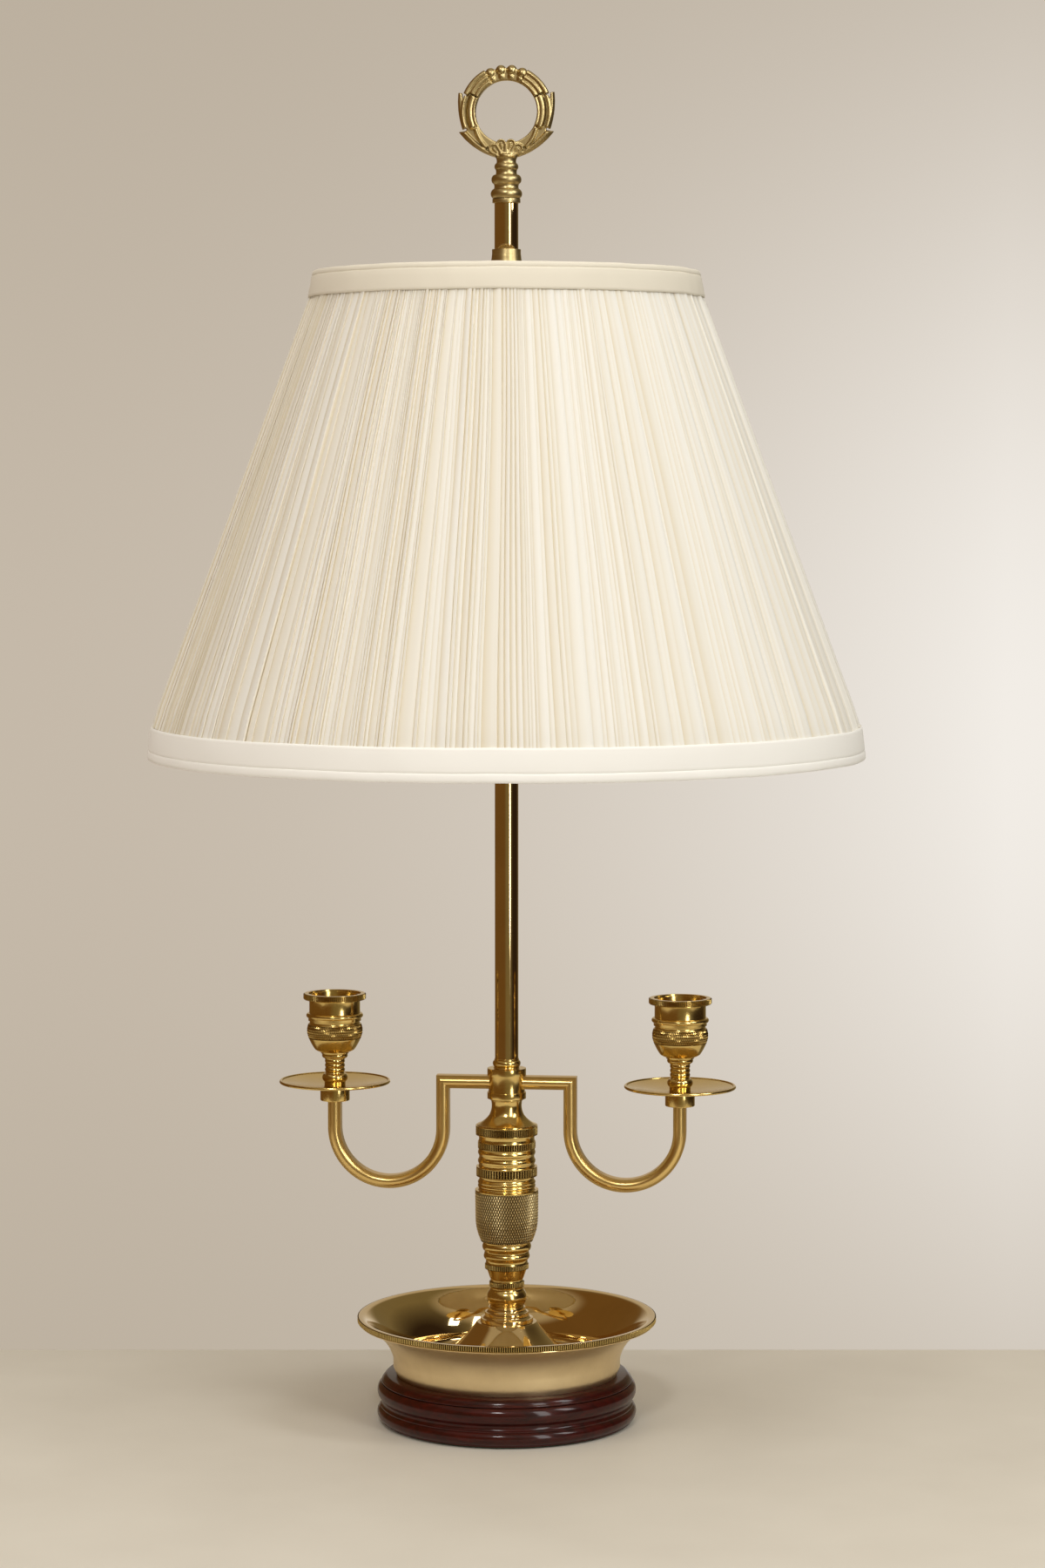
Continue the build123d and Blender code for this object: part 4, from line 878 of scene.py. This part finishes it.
def hang_light(name, power, turn, shape, size, azimuth, elevation, distance, reflected):
    """An area light aimed at the lamp, placed by its direction from the camera's side."""
    data = bpy.data.lights.new(name, "AREA")
    data.shape = shape
    data.size, data.size_y = size
    data.energy = power
    light = bpy.data.objects.new(name, data)
    turn, tilt = turn + radians(azimuth), radians(elevation)
    way = Vector((sin(turn) * cos(tilt), -cos(turn) * cos(tilt), sin(tilt)))
    light.location = LAMP_MIDDLE + way * distance
    light.rotation_euler = way.to_track_quat("Z", "Y").to_euler()
    light.visible_camera = False
    light.visible_glossy = reflected
    bpy.context.scene.collection.objects.link(light)


class LAMP_OT_stage(bpy.types.Operator):
    """Set the camera, the table top, the room and the lights"""
    bl_idname = "lamp.stage"
    bl_label = "Stage"

    def execute(self, context):
        stage = context.scene.lamp_stage
        place_camera(stage)
        lay_table(stage)
        paint_room(stage)
        for name, settings in LIGHTS.items():
            hang_light(name, getattr(stage, name + "_power"), stage.azimuth, *settings)
        context.scene.view_settings.view_transform = "Standard"
        return {"FINISHED"}


# -------------------------------------------------------------------- carried CAD nodes
ARM_EDGE = 0.3 * MM         # rounding of the arms' polished edges
CAST_GRAIN = 0.245 * MM     # finest detail that the wreath's casting keeps
CAST_WEAR = 9               # rounds of smoothing that wear it down


class LAMP_OT_carried(bpy.types.Operator):
    """Finish the CAD pieces that keep their own meshes"""
    bl_idname = "lamp.carried"
    bl_label = "Carried pieces"

    def execute(self, context):
        finishes = {
            "polished_brass": polished_brass(),
            "satin_brass": satin_brass(),
            "aged_brass": brass_material("aged_brass", "aged", roughness=0.35, tarnish=0.6),
            "antique_brass": antique_brass(),
            "socket_brass": drawn_brass(),
            "mahogany": mahogany(),
            "green_felt": green_felt(),
            "black_plastic": black_bakelite(),
            "zinc_steel": zinc_steel(),
            "liner_paper": liner_card(),
            "bulb_aluminium": cap_aluminium(),
            "bulb_frosted": frosted_glass(),
        }
        for piece in frame["nodes"].values():
            for holder in piece.material_slots:
                if holder.material.name in finishes:
                    holder.material = finishes[holder.material.name]
        bar = bar_brass()
        for node in ("left_arm", "right_arm"):
            arm = frame["nodes"][node]
            arm.material_slots[0].material = bar
            edges = arm.modifiers.new("edges", "BEVEL")
            edges.width = ARM_EDGE
            edges.segments = 2
            edges.harden_normals = True
        cast = frame["nodes"]["finial_wreath"]
        skin = cast.modifiers.new("cast_skin", "REMESH")
        skin.mode = "VOXEL"
        skin.voxel_size = CAST_GRAIN
        skin.use_smooth_shade = True
        worn = cast.modifiers.new("worn", "SMOOTH")
        worn.iterations = CAST_WEAR
        return {"FINISHED"}


# ------------------------------------------------------------------------- the column
# Knurled bands, as (foot, head) above the piece's own foot in millimetres, and ridge pitch.
STRAIGHT_BANDS = {
    "lower_reel": [(0.0, 2.5, 1.0), (9.0, 11.5, 1.0)],
    "ribbed_reel": [(7.4, 11.4, 1.5), (21.1, 24.4, 1.25), (28.3, 32.0, 0.95)],
}
DRUM_BAND = (0.3, 25.4)


class LAMP_OT_column(bpy.types.Operator):
    """Turn the column's pieces and cut their knurls"""
    bl_idname = "lamp.column"
    bl_label = "Column"

    def execute(self, context):
        brass = context.scene.lamp_brass
        knurls = context.scene.lamp_knurls
        plain = polished_brass()
        ridged = bright_knurl()
        for node in ("cone_foot", "knop", "neck", "arm_hub", "stem_check_ring",
                     "lower_reel", "ribbed_reel"):
            section = cut_section(node, node + "_turned")
            bands = []
            for *band, pitch in STRAIGHT_BANDS.get(node, []):
                start, end = heights(node, band)
                radius = outline_radius(section, (start + end) / 2)
                bands.append(straight_knurl(f"{node}_knurl_{len(bands) + 1}", radius, start,
                                            end, pitch * MM, knurls.depth, knurls.lip))
                cut_back(section, start, end, knurls.depth)
            soften(section, brass.corner)
            finish_piece(spin_up(section), node,
                         mirror_brass() if node == "cone_foot" else plain)
            for band in bands:
                finish_piece(band, node, ridged)
        section = cut_section("knurled_drum", "drum_turned")
        start, end = heights("knurled_drum", DRUM_BAND)
        band = diamond_knurl("drum_knurl", lambda z: outline_radius(section, z), start, end,
                             knurls.diamond, knurls.depth)
        cut_back(section, start, end, knurls.depth)
        soften(section, brass.corner)
        finish_piece(spin_up(section), "knurled_drum", polished_brass())
        finish_piece(band, "knurled_drum", knurled_brass())
        section = cut_section("stem_tube", "stem_drawn")
        finish_piece(spin_up(section), "stem_tube", drawn_brass())
        return {"FINISHED"}


# -------------------------------------------------------------------------- the base
BASE_CORNER = 0.5 * MM
FLANGE_SEAT = 3.0 * MM      # depth of the flat seat of the cord bushing's flange
FLANGE_ROOM = 0.2 * MM
CORD_HOLE = 4.9 * MM        # radius
DRILL_LENGTH = 30 * MM


class LAMP_OT_base(bpy.types.Operator):
    """Turn the wooden base and drill its cord hole"""
    bl_idname = "lamp.base"
    bl_label = "Wooden base"

    def execute(self, context):
        section = cut_section("wood_base", "base_turned")
        soften(section, BASE_CORNER)
        base = spin_up(section, WIDE_STEPS)
        flange_low, flange_high = low("cord_bushing"), high("cord_bushing")
        middle = (flange_low + flange_high) / 2
        seat = high("wood_base").y - FLANGE_SEAT
        widths = ((flange_high - flange_low).x / 2 + FLANGE_ROOM, CORD_HOLE)
        for radius, start in zip(widths, (seat, flange_low.y - MM)):
            deselect()
            bpy.ops.mesh.primitive_cylinder_add(
                vertices=48, radius=radius, depth=DRILL_LENGTH, rotation=(pi / 2, 0, 0),
                location=(0, start + DRILL_LENGTH / 2, middle.z))
            drill = named("cord_drill")
            settle(drill)
            apply_modifier(base, "BOOLEAN", object=drill, operation="DIFFERENCE",
                           solver="EXACT")
            bpy.data.objects.remove(drill)
        shade_smooth(base)
        finish_piece(base, "wood_base", mahogany())
        return {"FINISHED"}


# -------------------------------------------------------------------------- the tray
TRAY_RIM_BAND = (26.6, 29.2)    # above the tray's foot, in millimetres
TRAY_FLOOR = 0.05               # radius of the floor's flat underside
TRAY_CORNER = 1.5               # its corners, in corners of the other pieces
SATIN_TOP = 0.8 * MM            # where the satin wall ends, below the rim's knurl


class LAMP_OT_tray(bpy.types.Operator):
    """Turn the drip tray, satin outside and polished inside, and knurl its rim"""
    bl_idname = "lamp.tray"
    bl_label = "Drip tray"

    def execute(self, context):
        brass = context.scene.lamp_brass
        knurls = context.scene.lamp_knurls
        section = cut_section("drip_tray", "tray_turned")
        start, end = heights("drip_tray", TRAY_RIM_BAND)
        radius = outline_radius(section, (start + end) / 2)
        rim = straight_knurl("tray_rim_knurl", radius, start, end, knurls.rim, knurls.depth,
                             knurls.lip)
        cut_rim(section, start - WELD, radius, knurls.depth)
        soften(section, brass.corner * TRAY_CORNER)
        tray = spin_up(section, WIDE_STEPS)
        finish_piece(tray, "drip_tray", mirror_brass())
        tray.data.materials.append(satin_brass())

        def outside(face):
            middle = face.calc_center_median()
            outwards = Vector((middle.x, middle.y, 0))
            return (middle.z < start - SATIN_TOP and face.normal.dot(outwards) > 0
                    and outwards.length > TRAY_FLOOR)

        open_mesh(tray, "FACE")
        pick(tray, "faces", outside)
        tray.active_material_index = 1
        bpy.ops.object.material_slot_assign()
        close_mesh()
        finish_piece(rim, "drip_tray", bright_knurl())
        return {"FINISHED"}


# ------------------------------------------------------------------- the candle places
CUP_BOWL_BAND = (24.2, 31.2)    # above the cup's foot, in millimetres
CUP_RIM_BAND = (2.8, 0.1)       # below the cup's mouth, in millimetres
CUP_RIM_PITCH = 1.0 * MM
CUP_RIM_STEP = 0.2 * MM         # the rim is cut back from this far below its knurl
CUP_DIAMOND_DEPTH = 0.7         # share of the other knurls' depth


class LAMP_OT_candle_places(bpy.types.Operator):
    """Turn the collars, the drip pans and the candle cups of both arms"""
    bl_idname = "lamp.candle_places"
    bl_label = "Candle places"

    def execute(self, context):
        brass = context.scene.lamp_brass
        knurls = context.scene.lamp_knurls
        plain = polished_brass()
        span = (low("right_collar").x + high("right_collar").x) / 2
        for part, steps in (("collar", TURNED_STEPS), ("drip_pan", PAN_STEPS),
                            ("candle_cup", TURNED_STEPS)):
            node = "right_" + part
            section = cut_section(node, node + "_turned", span)
            pieces = [section]
            if part == "candle_cup":
                pieces += cup_knurls(section, node, knurls)
            soften(section, brass.corner)
            spin_up(section, steps)
            for piece, finish in zip(pieces, (plain, cup_knurl(), cup_knurl())):
                # the right copy can't share the name of the piece that it is copied from
                for side, x, name in (("right", span, piece.name + "_right"),
                                      ("left", -span, piece.name.replace("right", "left"))):
                    finish_piece(copy_of(piece, name, (x, 0, 0)), f"{side}_{part}", finish)
                bpy.data.objects.remove(piece)
        return {"FINISHED"}


def cup_knurls(section, node, knurls):
    """The cup's knurled bowl and rim, and room for them in its section."""
    start, end = heights(node, CUP_BOWL_BAND)
    bowl = diamond_knurl("right_cup_bowl_knurl", lambda z: outline_radius(section, z),
                         start, end, knurls.fine_diamond, knurls.depth * CUP_DIAMOND_DEPTH)
    mouth = high(node).z
    rim_foot, rim_head = (mouth - below * MM for below in CUP_RIM_BAND)
    radius = outline_radius(section, mouth - MM)
    rim = straight_knurl("right_cup_rim_knurl", radius, rim_foot, rim_head, CUP_RIM_PITCH,
                         knurls.depth, knurls.lip)
    cut_back(section, start, end, knurls.depth)
    cut_rim(section, rim_foot - CUP_RIM_STEP, radius, knurls.depth)
    return [bowl, rim]


# -------------------------------------------------------------------------- the riser
class LAMP_OT_riser(bpy.types.Operator):
    """Turn the riser collar, the riser tube and the finial's stem"""
    bl_idname = "lamp.riser"
    bl_label = "Riser and finial stem"

    def execute(self, context):
        toned = antique_brass()
        for node in ("riser_collar", "riser_tube", "finial_stem"):
            section = cut_section(node, node + "_turned")
            soften(section, context.scene.lamp_brass.corner)
            finish_piece(spin_up(section), node,
                         drawn_brass() if node == "riser_tube" else toned)
        return {"FINISHED"}


# -------------------------------------------------------------------------- the shade
FOLD = "fold"               # 1 in a valley, where the cloth is doubled and painted shade darkens it
PLEAT_POINTS = (            # share of the pleat's width, share of its rise, doubled cloth and painted shade
    (0.00, 0.00, 1.0),
    (0.30, 0.42, 0.35),
    (0.70, 0.85, 0.0),
    (1.00, 1.00, 0.0),
    (1.05, 0.45, 0.6),
)
PLEAT_WIDTHS = (0.5, 0.6, 0.8, 0.9, 1.1, 1.5, 2.2)      # shares of the mean width
PLEAT_RISES = (0.35, 0.6, 0.9, 1.2, 1.6)                # shares of the mean rise
PLEAT_LAYERS = (0.0, 0.0, 0.1, 0.25)                    # cloth doubled under the pleat
PLEAT_WANDER = 1.1 * MM     # how far a fold strays sideways
PLEAT_SWELL = 0.35          # how much its rise changes on the way up
PLEAT_TAPER = 0.2           # how much less it rises at the top
COVER_EDGE, COVER_ROWS = 0.3 * MM, 18
LINING_EDGE, LINING_ROWS, LINING_COLUMNS = 0.1 * MM, 12, 144
LINING_CLOTH, TAPE_CLOTH = 0.3 * MM, 0.6 * MM       # thicknesses
BAND_COLUMNS = 360
EDGE_SKIN = 0.05 * MM       # the outline isn't read nearer than this to its ends
BAND_FOOT = ((0.0, -0.5), (0.03, -0.1), (0.1, 0.1))     # share of height, lift in mm
BAND_CREASE = ((-0.06, 0.12), (-0.02, -0.05), (0.0, -0.3), (0.03, -0.05), (0.08, 0.05))
BAND_HEAD = ((0.55, 0.0), (0.92, 0.0), (0.98, -0.15), (1.0, -0.6))
PUCKERS = ((0.22, 9, 1.5), (0.1, 60, 4))    # lift in mm, waves round the band and up it
EDGE_WAVER = (0.25, 6)                      # drop in mm, waves round the band


class LAMP_OT_shade(bpy.types.Operator):
    """Pleat the shade's cover and fit its bands and its lining"""
    bl_idname = "lamp.shade"
    bl_label = "Shade"

    def execute(self, context):
        shade = context.scene.lamp_shade
        cover = pleated_cover(shade)
        bottom_band = fabric_band("shade_bottom_band", 0.27)
        top_band = fabric_band("shade_top_band", 0.8)
        finish_piece(cover, "shade_cover", cloth("pleated_ivory_cotton", shade.ivory,
                                                 shade.fold, shade.thread, FOLD))
        # one cloth on both bands: painted lighter at the bottom, painted shade at the top
        finish_piece(bottom_band, "shade_bottom_band",
                     cloth("ivory_cotton_tape", shade.tape, shade.ivory, shade.thread))
        finish_piece(top_band, "shade_top_band",
                     cloth("aged_cotton_tape", shade.top_tape, shade.fold, shade.thread))
        lining = shade_lining()
        finish_piece(lining, "shade_lining",
                     cloth("lining_cloth", shade.inside, shade.fold, shade.thread, weave=0.2))
        return {"FINISHED"}


def sleeve(name, profile, columns):
    """A thin open sleeve of cloth: rings raised up a profile of (radius, height)."""
    piece = ring(name, profile[0][0], profile[0][1], columns)
    for (old, below), (new, height) in zip(profile, profile[1:]):
        raise_ring(old, new, height - below)
    face_out()
    close_mesh()
    lay_out(piece, profile)
    return piece


def lay_out(piece, profile):
    """Lay the cloth flat: u runs round the shade and v up it, both in metres."""
    layer = piece.data.uv_layers.new(name="flat_cloth")
    mean = sum(radius for radius, _ in profile) / len(profile)
    for face in piece.data.polygons:
        centre_turn = atan2(face.center.y, face.center.x)
        for corner in face.loop_indices:
            point = piece.data.vertices[piece.data.loops[corner].vertex_index].co
            turn = atan2(point.y, point.x)
            if turn - centre_turn > pi:
                turn -= 2 * pi
            elif centre_turn - turn > pi:
                turn += 2 * pi
            layer.data[corner].uv = (turn * mean, point.z)


def slope_profile(node, edge, rows):
    """Radii and heights up a conical CAD piece, from edge to edge."""
    section = cut_section(node, node + "_outline")
    bottom, top = low(node).z, high(node).z
    levels = [bottom + edge + (top - bottom - 2 * edge) * n / rows for n in range(rows + 1)]
    profile = [(outline_radius(section, z), z) for z in levels]
    bpy.data.objects.remove(section)
    return profile


def pleated_cover(shade):
    """A cone of uneven knife pleats, with every fold laid towards the right."""
    profile = slope_profile("shade_cover", COVER_EDGE, COVER_ROWS)
    bottom, top = low("shade_cover").z, high("shade_cover").z
    pleats = round(2 * pi * profile[0][0] / shade.pleat)
    dice = Random(shade.seed)
    widths = [dice.choice(PLEAT_WIDTHS) for _ in range(pleats)]
    rises = [dice.choice(PLEAT_RISES) * shade.rise for _ in range(pleats)]
    layers = [dice.choice(PLEAT_LAYERS) for _ in range(pleats)]
    scale = 2 * pi / sum(widths)
    points = len(PLEAT_POINTS)
    columns = pleats * points
    cover = sleeve("shade_cover_pleated", profile, columns)
    # the fold layer marks the valleys' doubled cloth and their painted shade
    doubled = cover.data.attributes.new(FOLD, "FLOAT", "POINT")
    starts = [sum(widths[:n]) * scale for n in range(pleats)]
    for vertex, fold in zip(cover.data.vertices, doubled.data):
        step = round(atan2(vertex.co.y, vertex.co.x) / (2 * pi) * columns)
        pleat, point = divmod(step % columns, points)
        share, lift, doubled_cloth_and_shade = PLEAT_POINTS[point]
        start, rise = starts[pleat], rises[pleat]
        radius = hypot(vertex.co.x, vertex.co.y)
        climb = (vertex.co.z - bottom) / (top - bottom)
        # each fold strays and swells slowly on its way up
        wander = waver(start * 9, climb * 2.2, 0) * PLEAT_WANDER / radius
        turn = start + share * widths[pleat] * scale + wander
        swell = 1 + PLEAT_SWELL * waver(start * 20, climb * 3, 5)
        radius += (lift * rise * swell - shade.rise) * (1 - PLEAT_TAPER * climb)
        vertex.co.x, vertex.co.y = radius * cos(turn), radius * sin(turn)
        # taller pleats get more painted shade in their valleys
        fold.value = min(1, layers[pleat] + doubled_cloth_and_shade * (0.4 + 0.5 * rise / shade.rise))
    shade_smooth(cover, radians(50))
    return cover


def fabric_band(node, crease):
    """A cloth tape round a shade's edge, with a crease along it at a share of its height."""
    section = cut_section(node, node + "_outline")
    bottom, top = low(node).z, high(node).z
    height = top - bottom
    fold = tuple((crease + offset, lift) for offset, lift in BAND_CREASE)
    profile = []
    for share, lift in sorted(BAND_FOOT + fold + BAND_HEAD):
        z = bottom + share * height
        safe = min(max(z, bottom + EDGE_SKIN), top - EDGE_SKIN)
        profile.append((outline_radius(section, safe) + lift * MM, z))
    bpy.data.objects.remove(section)
    band = sleeve(node + "_tape", profile, BAND_COLUMNS)
    for vertex in band.data.vertices:
        turn = atan2(vertex.co.y, vertex.co.x)
        climb = (vertex.co.z - bottom) / height
        lift = sum(rise * waver(cos(turn) * waves, sin(turn) * waves, climb * up)
                   for rise, waves, up in PUCKERS)
        push = 1 + lift * MM / hypot(vertex.co.x, vertex.co.y)
        vertex.co.x *= push
        vertex.co.y *= push
        drop, waves = EDGE_WAVER
        vertex.co.z += drop * MM * waver(cos(turn) * waves, sin(turn) * waves, 3)
    apply_modifier(band, "SOLIDIFY", thickness=TAPE_CLOTH, offset=-1)
    shade_smooth(band, radians(60))
    return band


def shade_lining():
    """Lining cloth stretched between the rings."""
    profile = slope_profile("shade_lining", LINING_EDGE, LINING_ROWS)
    lining = sleeve("shade_lining_cloth", profile, LINING_COLUMNS)
    apply_modifier(lining, "SOLIDIFY", thickness=LINING_CLOTH, offset=-1)
    shade_smooth(lining, radians(60))
    return lining


# ------------------------------------------------------------------------------ panel
OPERATORS = (LAMP_OT_stage, LAMP_OT_carried, LAMP_OT_column, LAMP_OT_base,
             LAMP_OT_tray, LAMP_OT_candle_places, LAMP_OT_riser, LAMP_OT_shade)


class LAMP_PT_panel(bpy.types.Panel):
    """The lamp's steps and settings"""
    bl_idname = "LAMP_PT_panel"
    bl_label = "Bouillotte lamp"
    bl_space_type = "VIEW_3D"
    bl_region_type = "UI"
    bl_category = "Lamp"

    def draw(self, context):
        for operator in OPERATORS:
            self.layout.operator(operator.bl_idname)
        for name, group in SETTINGS.items():
            box = self.layout.box()
            box.label(text=group.__doc__)
            for setting in group.__annotations__:
                box.prop(getattr(context.scene, name), setting)


def register():
    for group in (*SETTINGS.values(), *OPERATORS, LAMP_PT_panel):
        bpy.utils.register_class(group)
    for name, group in SETTINGS.items():
        setattr(bpy.types.Scene, name, PointerProperty(type=group))


def unregister():
    for name in SETTINGS:
        delattr(bpy.types.Scene, name)
    for group in reversed((*SETTINGS.values(), *OPERATORS, LAMP_PT_panel)):
        bpy.utils.unregister_class(group)


def main():
    register()
    bpy.ops.lamp.stage()
    bpy.ops.lamp.carried()
    bpy.ops.lamp.column()
    bpy.ops.lamp.base()
    bpy.ops.lamp.tray()
    bpy.ops.lamp.candle_places()
    bpy.ops.lamp.riser()
    bpy.ops.lamp.shade()


if __name__ == "__main__":
    main()
